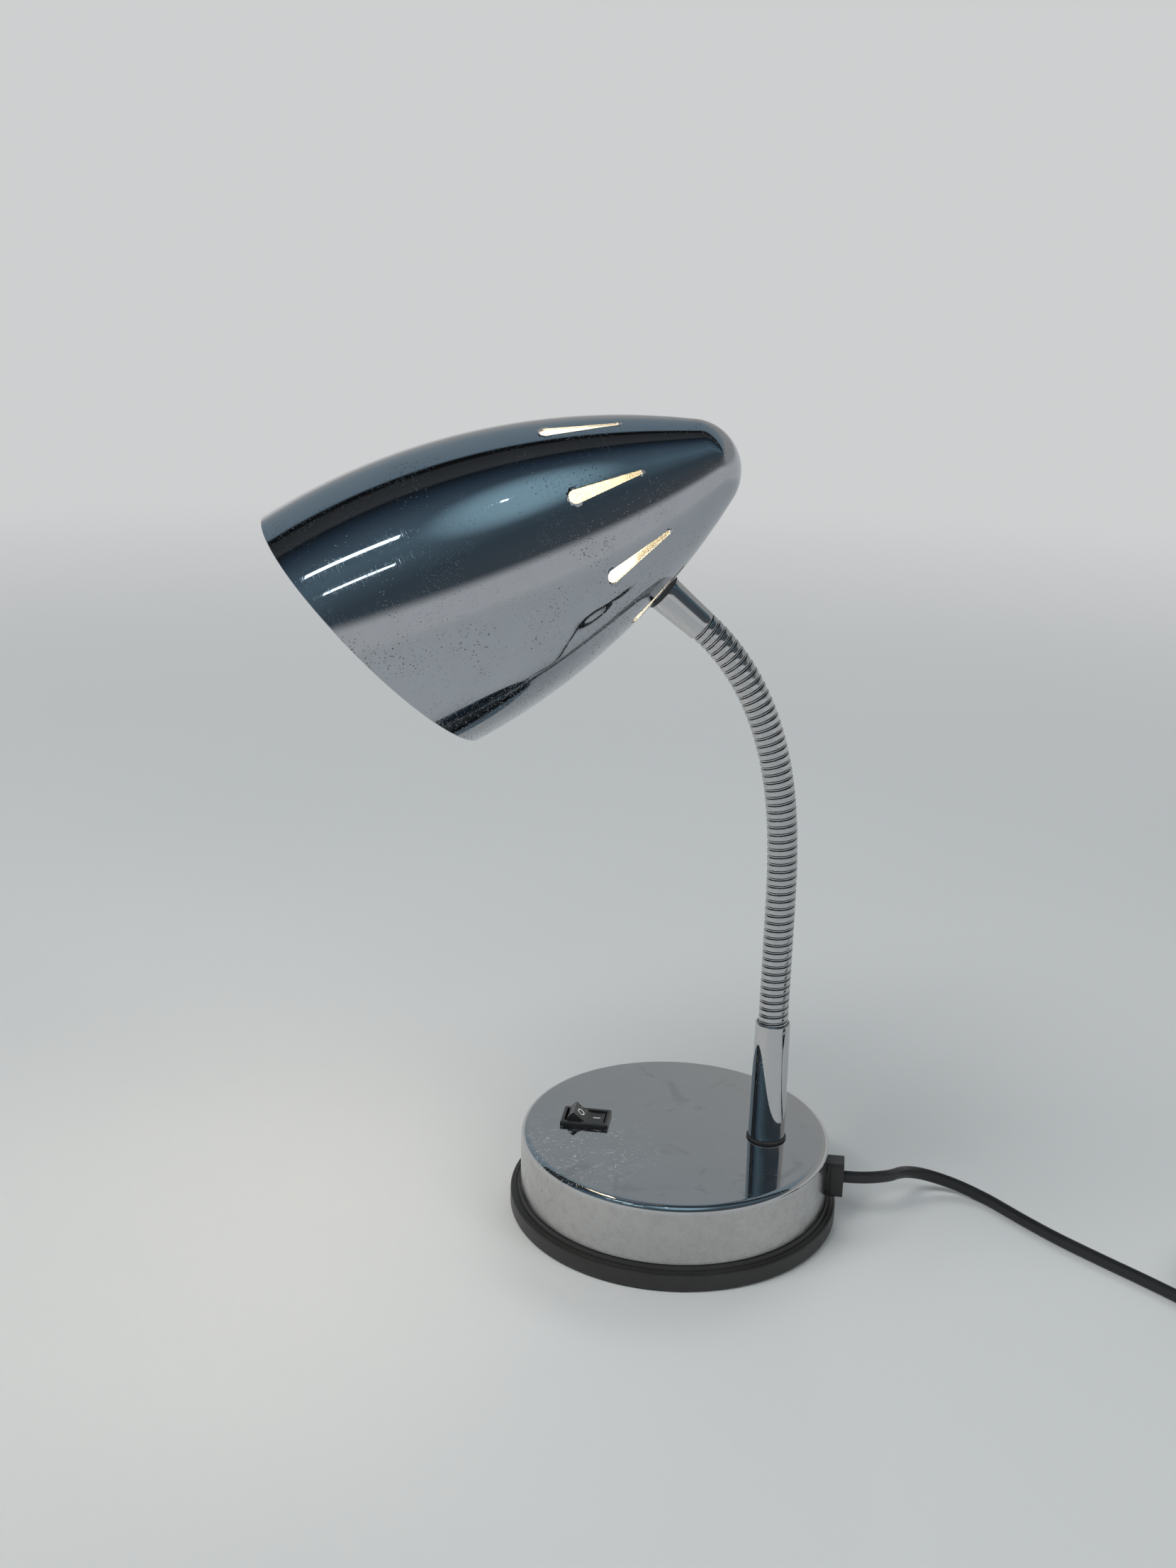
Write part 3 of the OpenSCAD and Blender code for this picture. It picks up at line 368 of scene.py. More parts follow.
def cover_wear(g, colour, rough, normal):
    """Side wall dulled, stained by handling and tinted a darker, warmer grey than the top; the top has pale short
    scratches in front of the switch.
    """
    x, y, z = g.add("SeparateXYZ", {0: g.place}).outputs
    wall = g.ramp(z, 0.0336, 0.0322)
    top = g.math("SUBTRACT", 1.0, wall)
    stain = g.ramp(g.noise(190, 9, 0.78), 0.46, 0.62)
    cloud = g.ramp(g.noise(34, 6, 0.65, distortion=0.8), 0.44, 0.66)
    left = g.ramp(x, 0.0, -0.035)
    grit = g.times(g.ramp(g.cells(1500), 0.26, 0.12), g.ramp(g.noise(85, 5), 0.5, 0.62))
    smear = g.times(g.ramp(g.noise(1.0, 5, 0.7, g.stretched((260, 260, 110), (0.3, 0.25, 0))), 0.60, 0.68),
                    g.ramp(g.noise(26, 3), 0.50, 0.64))
    dirt = g.times(wall, g.most(g.most(g.times(stain, 0.12), g.times(grit, 0.45)), g.times(smear, left)))
    # The side wall is tinted a darker, warmer grey than the top
    colour = g.mix(g.times(wall, 0.55), colour, rgb(0.47, 0.455, 0.435))
    colour = g.mix(g.times(g.times(wall, cloud), 0.12), colour, rgb(0.34, 0.325, 0.305))
    colour = g.mix(g.times(dirt, 0.75), colour, rgb(0.085, 0.07, 0.06))
    zone = g.add("VectorMath", {0: g.place, 1: (-0.036, -0.027, 0.036)}, operation="DISTANCE").outputs["Value"]
    zone = g.times(g.ramp(zone, 0.040, 0.014), g.ramp(g.noise(120, 4), 0.34, 0.54))
    dash = g.most(g.ramp(g.noise(1.0, 1, 0.5, g.stretched((300, 2600, 1), (0, 0, 0.06))), 0.645, 0.69),
                  g.ramp(g.noise(1.0, 1, 0.5, g.stretched((2000, 300, 1), (0, 0, 0.3))), 0.71, 0.74))
    speck = g.times(g.ramp(g.cells(1900), 0.2, 0.08), g.ramp(g.noise(60, 4), 0.5, 0.66))
    pale = g.times(top, g.math("MINIMUM", g.plus(g.times(zone, dash), g.times(speck, 0.35)), 1.0))
    print_zone = g.times(top, g.ramp(g.noise(36, 4, 0.6, distortion=1.4), 0.58, 0.66))
    colour = g.mix(g.times(print_zone, 0.35), colour, rgb(0.36, 0.35, 0.35))
    colour = g.mix(g.times(pale, 0.8), colour, rgb(0.78, 0.77, 0.75))
    rough = g.plus(rough, g.times(wall, g.ramp(g.most(stain, cloud), 0, 1, 0.12, 0.22)))
    rough = g.plus(rough, g.plus(g.times(pale, 0.35), g.times(print_zone, 0.06)))
    skin = g.bump(g.times(wall, g.noise(1.0, 5, 0.7, g.stretched((1300, 1300, 5200)))), 0.00003, after=normal)
    skin = g.dent(g.most(dirt, pale), 0.00004, skin)
    g.set(base_color=colour, roughness=rough, normal=skin,
          metallic=g.math("SUBTRACT", 1.0, g.times(g.most(pale, dirt), 0.7)))


def shade_wear(g, colour, rough, normal):
    """Rings left by spinning and polishing near the mouth, and many pits low on the shade."""
    axis = (IN_SHADE.to_3x3() @ UP).normalized()
    mouth = (IN_SHADE @ Vector((0, 0, 0))) * MM
    along = g.add("VectorMath", {0: g.place, 1: tuple(mouth)}, operation="SUBTRACT").outputs["Vector"]
    along = g.dot(axis, along)
    rings = g.add("CombineXYZ", {0: along}).outputs[0]
    rings = g.ramp(g.noise(2600, 3, 0.7, rings), 0.56, 0.66)
    rings = g.times(rings, g.times(g.ramp(along, 0.066, 0.02), g.ramp(g.noise(55, 5, 0.7), 0.42, 0.66)))
    z = g.add("SeparateXYZ", {0: g.place}).outputs[2]
    low = g.ramp(z, 0.285, 0.225)
    crowd = g.plus(g.times(low, 0.16), g.noise(36, 4, 0.6))
    pits = g.times(g.ramp(g.cells(780), 0.24, 0.15), g.ramp(crowd, 0.53, 0.72))
    pits = g.most(pits, g.times(g.ramp(g.cells(420), 0.13, 0.08), g.ramp(crowd, 0.52, 0.64)))
    haze = g.times(g.ramp(g.noise(150, 8, 0.75), 0.44, 0.66), g.ramp(crowd, 0.5, 0.75))
    colour = g.mix(g.times(haze, 0.28), colour, rgb(0.29, 0.29, 0.295))
    colour = g.mix(g.times(pits, 0.85), colour, rgb(0.045, 0.04, 0.038))
    rough = g.plus(rough, g.plus(g.times(rings, 0.16), g.times(haze, 0.05)))
    rough = g.plus(rough, g.times(pits, 0.4))
    skin = g.dent(rings, 0.000012, normal)
    skin = g.dent(pits, 0.00006, skin)
    g.set(base_color=colour, roughness=rough, normal=skin)


def steel(name, tint, rough=0.32):
    """Zinc-plated or bare steel, with a blotchy, slightly grained surface."""
    g = Graph(name)
    blotch = g.noise(130, 6, 0.65)
    grain = g.noise(1.0, 3, 0.6, g.stretched((900, 260, 900)))
    colour = g.mix(g.ramp(blotch, 0.35, 0.7), rgb(*tint), rgb(*(0.72 * c for c in tint)))
    g.set(base_color=colour, metallic=1.0, roughness=g.ramp(blotch, 0.3, 0.7, rough - 0.08, rough + 0.14),
          normal=g.bump(g.plus(grain, g.noise(2200, 2)), 0.00003))


def plastic(name, tint, rough, grain=700, depth=0.00003, wear=0.35):
    """Moulded plastic: fine eroded grain, dust in patches and a little wear."""
    g = Graph(name)
    dust = g.times(g.ramp(g.noise(40, 6, 0.7), 0.46, 0.74), wear)
    pale = tuple(c + 0.03 for c in tint)
    specks = g.times(g.ramp(g.cells(900), 0.12, 0.05), g.ramp(g.noise(35, 3), 0.52, 0.7))
    colour = g.mix(dust, rgb(*tint), rgb(*pale))
    colour = g.mix(g.times(specks, 0.5), colour, rgb(0.3, 0.28, 0.25))
    scuff = g.ramp(g.noise(1.0, 2, 0.5, g.stretched((60, 700, 700), (0, 0, 0.3))), 0.68, 0.76)
    skin = g.bump(g.noise(grain, 3, 0.6), depth)
    skin = g.dent(scuff, depth, skin)
    g.set(base_color=colour, roughness=g.plus(g.ramp(dust, 0, wear, rough, rough + 0.16), g.times(scuff, 0.12)),
          normal=skin)


def rubber(name, tint):
    g = Graph(name)
    bloom = g.ramp(g.noise(90, 6, 0.7), 0.42, 0.75)
    g.set(base_color=g.mix(g.times(bloom, 0.5), rgb(*tint), rgb(*(c + 0.04 for c in tint))),
          roughness=g.ramp(bloom, 0, 1, 0.52, 0.74),
          normal=g.bump(g.noise(1400, 4, 0.6), 0.00004))


def foam(name, tint):
    g = Graph(name)
    cells = g.cells(1100, feature="SMOOTH_F1")
    # Painted shade: the colour is darker towards the middle of each pore, where the bump sinks it
    g.set(base_color=g.mix(g.ramp(cells, 0.1, 0.6), rgb(*(0.5 * c for c in tint)), rgb(*tint)),
          roughness=g.ramp(cells, 0.1, 0.6, 0.95, 0.8), normal=g.bump(cells, 0.0003))


def cast_iron(name, tint):
    g = Graph(name)
    lumps = g.noise(420, 8, 0.7)
    rust = g.ramp(g.noise(38, 6, 0.7), 0.55, 0.75)
    g.set(base_color=g.mix(g.times(rust, 0.5), rgb(*tint), rgb(0.2, 0.1, 0.05)), metallic=0.6,
          roughness=g.ramp(lumps, 0.3, 0.7, 0.5, 0.8), normal=g.bump(lumps, 0.0002))


def enamel(name, tint, rough=0.35):
    """Cream moulded thermoset or white paint: slight orange peel and yellowed patches."""
    g = Graph(name)
    stain = g.ramp(g.noise(55, 5, 0.6), 0.4, 0.75)
    g.set(base_color=g.mix(g.times(stain, 0.4), rgb(*tint), rgb(tint[0] * 0.92, tint[1] * 0.84, tint[2] * 0.68)),
          roughness=g.ramp(stain, 0, 1, rough, rough + 0.15), normal=g.bump(g.noise(650, 3), 0.00003))


def lit_glass(name):
    """Opal glass with the filament's glow behind it."""
    g = Graph(name)
    cloud = g.noise(70, 4, 0.6)
    g.set(base_color=g.mix(cloud, rgb(1.0, 0.94, 0.82), rgb(0.96, 0.9, 0.8)),
          roughness=g.ramp(cloud, 0.3, 0.7, 0.16, 0.26),
          emission_color=g.mix(cloud, rgb(1.0, 0.80, 0.56), rgb(1.0, 0.86, 0.66)), emission_strength=12.0)


STEEL_TINT = (0.55, 0.555, 0.565)


def make_materials():
    """The record's slots, by their names, and the finishes that only this script tells apart."""
    chrome("chrome_steel", STEEL_TINT)
    # Painted shade: the neck's chrome is tinted a little darker than the other chrome, standing for the dark things
    # that it reflects
    chrome("neck_chrome", (0.52, 0.525, 0.53), pits=0.7, scratches=0.8, dull=0.012)
    # Painted shade: the shade's chrome is a darker copy of the other chrome, standing for the dark room that it
    # reflects
    chrome("chrome_shade", (0.44, 0.465, 0.50), pits=0.8, wear=shade_wear)
    chrome("chrome_cover", STEEL_TINT, pits=0.6, scratches=0.8, wear=cover_wear)
    enamel("mark_white", (0.85, 0.85, 0.83))
    enamel("shade_inside", (0.86, 0.85, 0.82))
    # Painted shade: the core under the neck's strips shows in the grooves between them and is near-black steel so that
    # the grooves look shaded
    steel("core_painted_shade", (0.10, 0.10, 0.105), 0.4)
    steel("bare_steel", (0.62, 0.62, 0.63))
    cast_iron("ballast", (0.22, 0.22, 0.23))
    plastic("black_plastic", (0.024, 0.022, 0.021), 0.42)
    plastic("switch_plastic", (0.02, 0.02, 0.02), 0.22, depth=0.00001, wear=0.15)
    rubber("gasket_rubber", (0.03, 0.03, 0.03))
    foam("pad_foam", (0.07, 0.07, 0.075))
    steel("brass", (0.78, 0.62, 0.33), 0.28)
    plastic("cord_black", (0.013, 0.013, 0.013), 0.38, grain=1100, depth=0.00002, wear=0.3)
    plastic("plug_black", (0.022, 0.022, 0.022), 0.45, grain=1200)
    steel("pin_nickel", (0.72, 0.70, 0.66), 0.2)
    plastic("lead_brown", (0.28, 0.13, 0.06), 0.4, wear=0.2)
    plastic("lead_blue", (0.05, 0.15, 0.45), 0.4, wear=0.2)
    enamel("lead_sleeve", (0.78, 0.76, 0.70), 0.6)
    enamel("holder_cream", (0.80, 0.77, 0.68))
    lit_glass("bulb_opal")
    plastic("insulator", (0.08, 0.08, 0.085), 0.3)


make_materials()


def dress_nodes():
    """Each CAD node takes the material of its slot in the record."""
    for part in frame["record"]["subparts"]:
        mesh = nodes[part["node"]].data
        mesh.materials.clear()
        mesh.materials.append(materials[part["material_slot"]])
    # A white glass-fibre sleeve keeps the heat off the lead in the shade
    nodes["holder_lead"].data.materials[0] = materials["lead_sleeve"]
    for name, width in (("switch_housing", 0.35), ("switch_rocker", 0.3), ("cord_bushing", 0.5), ("plug_body", 0.4)):
        weld = nodes[name].modifiers.new("weld", "WELD")
        weld.merge_threshold = 1e-6
        bevel = nodes[name].modifiers.new("edges", "BEVEL")
        bevel.width = width * MM
        bevel.segments = 3
        bevel.limit_method = "ANGLE"
        bevel.angle_limit = radians(35)
        bevel.harden_normals = True


dress_nodes()

# ---- cord

CORD_W = 5.4 * MM
CORD_T = 3.2 * MM
COIL_MIDDLE = (253.4, -30.6)
# Route from part.scad, in millimetres
CORD_ROUTE = [
    (71.5, 0, 20), (78.3, 0.4, 19.9), (84.4, 2.1, 19.5), (89.7, 5.2, 18.7), (94.2, 9.6, 17.4),
    (98, 15.5, 15.7), (102, 21.8, 13), (107.6, 26.7, 10.2), (114.4, 29.4, 7.5),
    (121.5, 29.9, 5.3), (128.3, 28.4, 3.7), (134.5, 25.1, 2.8), (140.1, 20.2, 2.7),
    (153, 6.8, 2.7), (166, -5.5, 2.7), (181.5, -18.3, 2.7), (196.5, -30.2, 2.7),
    (207.5, -39.3, 2.7), (217.5, -48, 2.7), (227, -57, 2.7),
]
FLAT_Z = 2.7
LAYER = 5.4
# The spare cord's spiral, radii in millimetres and angles in degrees: half way it climbs to its upper layer, and
# before it leaves it goes aside and then down
COIL_TURNS = 6
COIL_OUT, COIL_IN = 37.3, 27.1
COIL_START, COIL_LEAVE = 225, 330
COIL_STEP = 9
CLIMB = 100
DOWN = 62
ASIDE_BEFORE, ASIDE, ASIDE_BY = 115, 60, 3.3
TAIL_R = 37.4
# How far the tail runs on towards the plug, and how far it still lies outside its line
TAIL = ((6, 2.6), (11, 1.5), (16, 0.5), (19, 0.1), (22, 0))


def smooth_through(points, steps):
    """Catmull-Rom curve through the points."""
    out = []
    for i in range(len(points) - 1):
        a, b, c, d = (Vector(points[min(max(j, 0), len(points) - 1)]) for j in (i - 1, i, i + 1, i + 2))
        for s in range(steps):
            t = s / steps
            out.append(0.5 * ((2 * b) + (c - a) * t + (2 * a - 5 * b + 4 * c - d) * t * t
                              + (3 * b - a - 3 * c + d) * t ** 3))
    out.append(Vector(points[-1]))
    return out


def blend_step(t):
    t = min(max(t, 0.0), 1.0)
    return t * t * (3 - 2 * t)


def coil_points():
    """The spare cord: inwards on the floor, outwards on top of that, then down to the plug."""
    sweep = 360 * COIL_TURNS + COIL_LEAVE - COIL_START
    half = sweep / 2
    count = sweep // COIL_STEP
    points = []
    for i in range(1, count + 1):
        done = sweep * i / count
        part = done / half if done < half else (sweep - done) / half
        aside = blend_step((done - sweep + ASIDE_BEFORE) / ASIDE)
        down = blend_step((done - sweep + DOWN) / DOWN)
        climb = blend_step((done - half + CLIMB / 2) / CLIMB)
        radius = COIL_OUT + (COIL_IN - COIL_OUT) * part + ASIDE_BY * aside
        z = FLAT_Z + LAYER * climb * (1 - down)
        angle = radians(COIL_START + done)
        points.append((COIL_MIDDLE[0] + radius * cos(angle), COIL_MIDDLE[1] + radius * sin(angle), z))
    leave = radians(COIL_LEAVE)
    ahead = Vector((-sin(leave), cos(leave), 0))
    out = Vector((cos(leave), sin(leave), 0))
    start = Vector((COIL_MIDDLE[0], COIL_MIDDLE[1], FLAT_Z)) + out * TAIL_R
    for along, aside in TAIL:
        points.append(tuple(start + ahead * along + out * aside))
    return points


def make_cord():
    middle = smooth_through(CORD_ROUTE, 6)[:-1] + smooth_through([CORD_ROUTE[-1]] + coil_points(), 2)
    middle = [p * MM for p in middle]
    sides, groove, groove_w, flatness = 20, 0.13, 0.28, 0.75
    verts, faces = [], []
    for i, p in enumerate(middle):
        ahead = (middle[min(i + 1, len(middle) - 1)] - middle[max(i - 1, 0)]).normalized()
        aside = UP.cross(ahead).normalized()
        up = ahead.cross(aside)
        for j in range(sides):
            a = 2 * pi * j / sides
            # Two round cores side by side, with a shallow groove between them
            waist = 1 - groove * exp(-((sin(a) / groove_w) ** 2))
            flat = abs(cos(a)) ** flatness * (1 if cos(a) >= 0 else -1)
            verts.append(p + aside * (CORD_T / 2 * flat * waist) + up * (CORD_W / 2 * sin(a)))
    for i in range(len(middle) - 1):
        for j in range(sides):
            n = (j + 1) % sides
            faces.append((i * sides + j, i * sides + n, (i + 1) * sides + n, (i + 1) * sides + j))
    last = (len(middle) - 1) * sides
    faces.append(tuple(range(sides - 1, -1, -1)))
    faces.append(tuple(last + j for j in range(sides)))
    cord = make_object("flat_cord", verts, faces, "cord_black")
    stand_in(cord, "base", "cord_black", "power_cord", "cord_coil", "cord_tail")


make_cord()

# ---- shade

# All openings lie between these heights, where a flat map of the sheet is meshed on a grid, which keeps clear of them
MAP_LOW, MAP_HIGH = 78.0, 124.0
MAP_ROWS, COLUMNS = 46, 192
CLEAR = 0.75
MOUTH_ROWS, NOSE_ROWS, EDGE_ROWS = 40, 30, 6


def shade_radius(z, inset):
    """Radius of the shade's outline at a height along its axis."""
    join = (SHADE_ARC - inset) * sin(JOIN_A)
    if z <= join:
        return ARC_X + sqrt((SHADE_ARC - inset) ** 2 - z * z)
    return sqrt(max(0.0, (NOSE_R - inset) ** 2 - (z - NOSE_Z) ** 2))


def shade_normal(p):
    """Outward normal of the outline through a point, in the shade's frame."""
    r = hypot(p.x, p.y)
    out = Vector((p.x, p.y, 0)).normalized() if r > 1e-6 else UP
    if atan2(p.z, r - ARC_X) <= JOIN_A:
        return (out * (r - ARC_X) + Vector((0, 0, p.z))).normalized()
    return (out * r + Vector((0, 0, p.z - NOSE_Z))).normalized()


def mouth_z(turn, inset):
    """Height of the slanted mouth on the outline at an angle round the axis."""
    z = -MOUTH_DROP
    for _ in range(12):
        z = -MOUTH_DROP + MOUTH_SLOPE * shade_radius(z, inset) * cos(turn)
    return z


def teardrop():
    """Outline of a vent slot: x towards the mouth, y round the shade."""
    length, wide, tip = 26.6, 2.7, 0.9
    a = degrees(acos((wide - tip) / length))
    return arc(length / 2, 0, wide, a - 180, 180 - a, 22) + arc(-length / 2, 0, tip, 180 - a, 180 + a, 12)


def pierce(turn, centre_a, p, q, inset):
    """Where a line through (p, q) of a hole's flat outline meets the shade: (angle round the axis, height)."""
    x = SHADE_ARC - inset
    for _ in range(8):
        r = ARC_X + x * cos(centre_a) + p * sin(centre_a)
        z = x * sin(centre_a) - p * cos(centre_a)
        x += (shade_radius(z, inset) - hypot(r, q)) / cos(centre_a)
    return turn + atan2(q, r), z


def shade_holes(inset):
    slots = [[pierce(radians((i + 0.5) * 360 / SLOTS), SLOT_A, p, q, inset) for p, q in teardrop()]
             for i in range(SLOTS)]
    ring = [pierce(0, COLLAR_A, p, q, inset) for p, q in arc(0, 0, TUBE_R + 0.1, 0, 360, 40)[:-1]]
    return slots + [ring]


def inside(point, loop):
    hit = False
    for (x0, y0), (x1, y1) in zip(loop, loop[1:] + loop[:1]):
        if (y0 > point[1]) != (y1 > point[1]) and point[0] < x0 + (point[1] - y0) * (x1 - x0) / (y1 - y0):
            hit = not hit
    return hit


def near(point, loop):
    return any((point[0] - x) ** 2 + (point[1] - y) ** 2 < CLEAR * CLEAR for x, y in loop)


def shade_skin(inset):
    """The sheet's part with openings as flat-map vertices and triangles, with the openings' loops and the grid."""
    loops = []
    for loop in shade_holes(inset):
        loops.append([(SHADE_R * (t if t <= pi else t - 2 * pi), z) for t, z in loop])
    flat, edges, holes = [], [], []
    for loop in loops:
        first = len(flat)
        flat += [Vector(p) for p in loop]
        holes.append(list(range(first, len(flat))))
        edges += [(first + i, first + (i + 1) % len(loop)) for i in range(len(loop))]
    span = 2 * pi * SHADE_R
    grid = {}
    for j in range(MAP_ROWS + 1):
        for i in range(COLUMNS + 1):
            p = (-span / 2 + span * i / COLUMNS, MAP_LOW + (MAP_HIGH - MAP_LOW) * j / MAP_ROWS)
            edge = i in (0, COLUMNS) or j in (0, MAP_ROWS)
            if edge or not any(inside(p, loop) or near(p, loop) for loop in loops):
                grid[i, j] = len(flat)
                flat.append(Vector(p))
    for j in range(MAP_ROWS):
        edges += [(grid[i, j], grid[i, j + 1]) for i in (0, COLUMNS)]
    for i in range(COLUMNS):
        edges += [(grid[i, j], grid[i + 1, j]) for j in (0, MAP_ROWS)]
    out = delaunay_2d_cdt(flat, edges, [], 0, 1e-7)
    tris = []
    for face in out[2]:
        middle = sum((out[0][v] for v in face), Vector((0, 0))) / len(face)
        if not any(inside(middle, loop) for loop in loops):
            tris.append(tuple(out[3][v][0] for v in face))
    return [(p.x / SHADE_R, p.y) for p in flat], tris, holes, grid


def shade_sheet(inset):
    """Vertices, faces, the openings' loops and the mouth's ring of one side of the sheet, in the shade's frame."""
    flat, tris, holes, grid = shade_skin(inset)
    same = {grid[COLUMNS, j]: grid[0, j] for j in range(MAP_ROWS + 1)}
    used = sorted({same.get(v, v) for tri in tris for v in tri} | {v for loop in holes for v in loop})
    index = {v: i for i, v in enumerate(used)}

    def on_outline(turn, z):
        r = shade_radius(z, inset)
        return Vector((r * cos(turn), r * sin(turn), z))

    verts = [on_outline(*flat[v]) for v in used]
    faces = [tuple(index[same.get(v, v)] for v in tri) for tri in tris]
    loops = [[index[v] for v in loop] for loop in holes]

    def ring(z_of):
        first = len(verts)
        for i in range(COLUMNS):
            turn = -pi + 2 * pi * i / COLUMNS
            verts.append(on_outline(turn, z_of(turn)))
        return list(range(first, first + COLUMNS))

    def join(a, b):
        for i in range(COLUMNS):
            n = (i + 1) % COLUMNS
            faces.append((a[i], a[n], b[n], b[i]))

    mouth = [index[grid[i, 0]] for i in range(COLUMNS)]
    for k in range(MOUTH_ROWS - 1, -1, -1):
        part = k / MOUTH_ROWS
        lower = ring(lambda turn: mouth_z(turn, inset) * (1 - part) + MAP_LOW * part)
        join(lower, mouth)
        mouth = lower
    above = [index[grid[i, MAP_ROWS]] for i in range(COLUMNS)]
    swing = asin(MAP_HIGH / SHADE_ARC)
    for k in range(1, NOSE_ROWS):
        a = swing + (pi / 2 - swing) * k / NOSE_ROWS
        if a <= JOIN_A:
            z = (SHADE_ARC - inset) * sin(a)
        else:
            z = NOSE_Z + (NOSE_R - inset) * sin(a)
        upper = ring(lambda turn: z)
        join(above, upper)
        above = upper
    verts.append(Vector((0, 0, SHADE_LEN - inset)))
    for i in range(COLUMNS):
        faces.append((above[i], above[(i + 1) % COLUMNS], len(verts) - 1))
    return verts, faces, loops, mouth


def make_shade():
    outer, outer_faces, outer_holes, outer_mouth = shade_sheet(0)
    inner, inner_faces, inner_holes, inner_mouth = shade_sheet(SHADE_T)
    shift = len(outer)
    verts = outer + inner
    normals = [[shade_normal(outer[v]) for v in face] for face in outer_faces]
    faces = list(outer_faces)
    for face in inner_faces:
        faces.append(tuple(v + shift for v in reversed(face)))
        normals.append([-shade_normal(inner[v]) for v in reversed(face)])
    inner_side = range(len(outer_faces), len(faces))
    for a, b in zip(outer_holes, inner_holes):
        for i in range(len(a)):
            n = (i + 1) % len(a)
            face = (a[n], a[i], b[i] + shift, b[n] + shift)
            across = (verts[face[1]] - verts[face[0]]).cross(verts[face[2]] - verts[face[1]])
            faces.append(face)
            normals.append([across.normalized()] * 4)
    # The mouth's edge is rounded, half a sheet beyond the last ring; the ring above that one was made just before it
    mouth = [(v, verts[v], verts[w + shift], shade_normal(verts[v])) for v, w in zip(outer_mouth, inner_mouth)]
    rings, ways = [outer_mouth], [[out for _, _, _, out in mouth]]
    for k in range(1, EDGE_ROWS):
        a = pi * k / EDGE_ROWS
        rings.append(list(range(len(verts), len(verts) + COLUMNS)))
        ways.append([])
        for v, p, q, out in mouth:
            along = p - outer[v - COLUMNS]
            along = (along - out * along.dot(out)).normalized()
            verts.append((p + q) / 2 + (p - q) / 2 * cos(a) + along * (SHADE_T / 2 * sin(a)))
            ways[-1].append(out * cos(a) + along * sin(a))
    rings.append([v + shift for v in inner_mouth])
    ways.append([-out for out in ways[0]])
    for here, there, way, next_way in zip(rings, rings[1:], ways, ways[1:]):
        for i in range(COLUMNS):
            n = (i + 1) % COLUMNS
            faces.append((here[n], here[i], there[i], there[n]))
            normals.append([way[n], way[i], next_way[i], next_way[n]])
    obj = make_object("shade_shell", [(IN_SHADE @ v) * MM for v in verts], faces, "chrome_shade")
    obj.data.materials.append(materials["shade_inside"])
    for i in inner_side:
        obj.data.polygons[i].material_index = 1
    turn = IN_SHADE.to_3x3()
    obj.data.normals_split_custom_set([turn @ n for face in normals for n in face])
    stand_in(obj, "head", "chrome_steel", "shade")


make_shade()

# ---- neck

NECK_STEP = 0.1


def neck_line(step):
    """The neck's middle line in the arm's plane, through every gap between two links: (x, z) each step."""
    points = []
    x, z, s = 0.0, COLUMN_TOP, 0.0
    while s <= NECK_LEN + 1:
        points.append((x, z))
        a = lean(s + step / 2)
        x, z, s = x - step * sin(a), z + step * cos(a), s + step
    # Each link is straight, so the curve is drawn out a little to meet the gaps
    off = [(0.0, 0.0, 0.0)]
    for k in range(LINKS + 1):
        at = FOOT_STUB + k * LINK_LEN
        px, pz = points[min(len(points) - 1, round(at / step))]
        gx, gz = link_foot(k)
        off.append((at, gx - px, gz - pz))
    off.append((NECK_LEN + 20, off[-1][1], off[-1][2]))
    out = []
    for i, (px, pz) in enumerate(points):
        at = i * step
        for a, b in zip(off, off[1:]):
            if a[0] <= at <= b[0]:
                t = (at - a[0]) / max(b[0] - a[0], 1e-6)
                out.append((px + a[1] + (b[1] - a[1]) * t, pz + a[2] + (b[2] - a[2]) * t))
                break
    return out


NECK_LINE = neck_line(NECK_STEP)


def on_neck(s, r, turn):
    """A point at distance s along the neck, r from its middle line."""
    if s < 0:
        x, z, a = 0.0, COLUMN_TOP + s, 0.0
    else:
        i = min(int(s / NECK_STEP), len(NECK_LINE) - 2)
        t = s / NECK_STEP - i
        x = NECK_LINE[i][0] * (1 - t) + NECK_LINE[i + 1][0] * t
        z = NECK_LINE[i][1] * (1 - t) + NECK_LINE[i + 1][1] * t
        a = lean(min(s, NECK_LEN))
    out = r * cos(turn)
    return IN_ARM @ Vector((x + out * cos(a), r * sin(turn), z + out * sin(a)))


# Sections of the two wound strips: (radius, distance along the neck); the wide one has an undercut lip at each edge
WIDE_BAND = [(5.2, -0.6), (6.03, -0.6), (6.03, -1.04), (6.06, -1.06), (6.13, -1.03), (6.205, -0.96), (6.24, -0.84),
             (6.25, -0.55), (6.25, 0.55), (6.24, 0.84), (6.205, 0.96), (6.13, 1.03), (6.06, 1.06), (6.03, 1.04),
             (6.03, 0.6), (5.2, 0.6)]
THIN_BAND = [(5.2, -0.28), (5.84, -0.28), (5.92, -0.2), (5.95, 0.0), (5.92, 0.2), (5.84, 0.28), (5.2, 0.28)]
WOUND_SIDES = 44


def wind(section, start, turns, first):
    """A strip wound round the neck: its vertices and faces, closed at both ends."""
    verts, faces = [], []
    count = round(WOUND_SIDES * turns)
    size = len(section)
    for i in range(count + 1):
        turn = turns * i / count
        for r, off in section:
            verts.append(on_neck(start + PITCH * turn + off, r, pi / 2 + 2 * pi * turn))
    for i in range(count):
        for j in range(size):
            n = (j + 1) % size
            a, b = first + i * size, first + (i + 1) * size
            faces.append((a + j, a + n, b + n, b + j))
    faces.append(tuple(first + j for j in range(size - 1, -1, -1)))
    faces.append(tuple(first + count * size + j for j in range(size)))
    return verts, faces


# The core under the strips: its balls and sockets are smaller than in part.scad, to leave room for the strips
CORE_R = 5.3
CORE_BALL = 4.6
CORE_SOCKET = 4.75
CORE_BORE = 3.0
THREAD_DEPTH = 0.35
THREAD_PITCH = 1.0


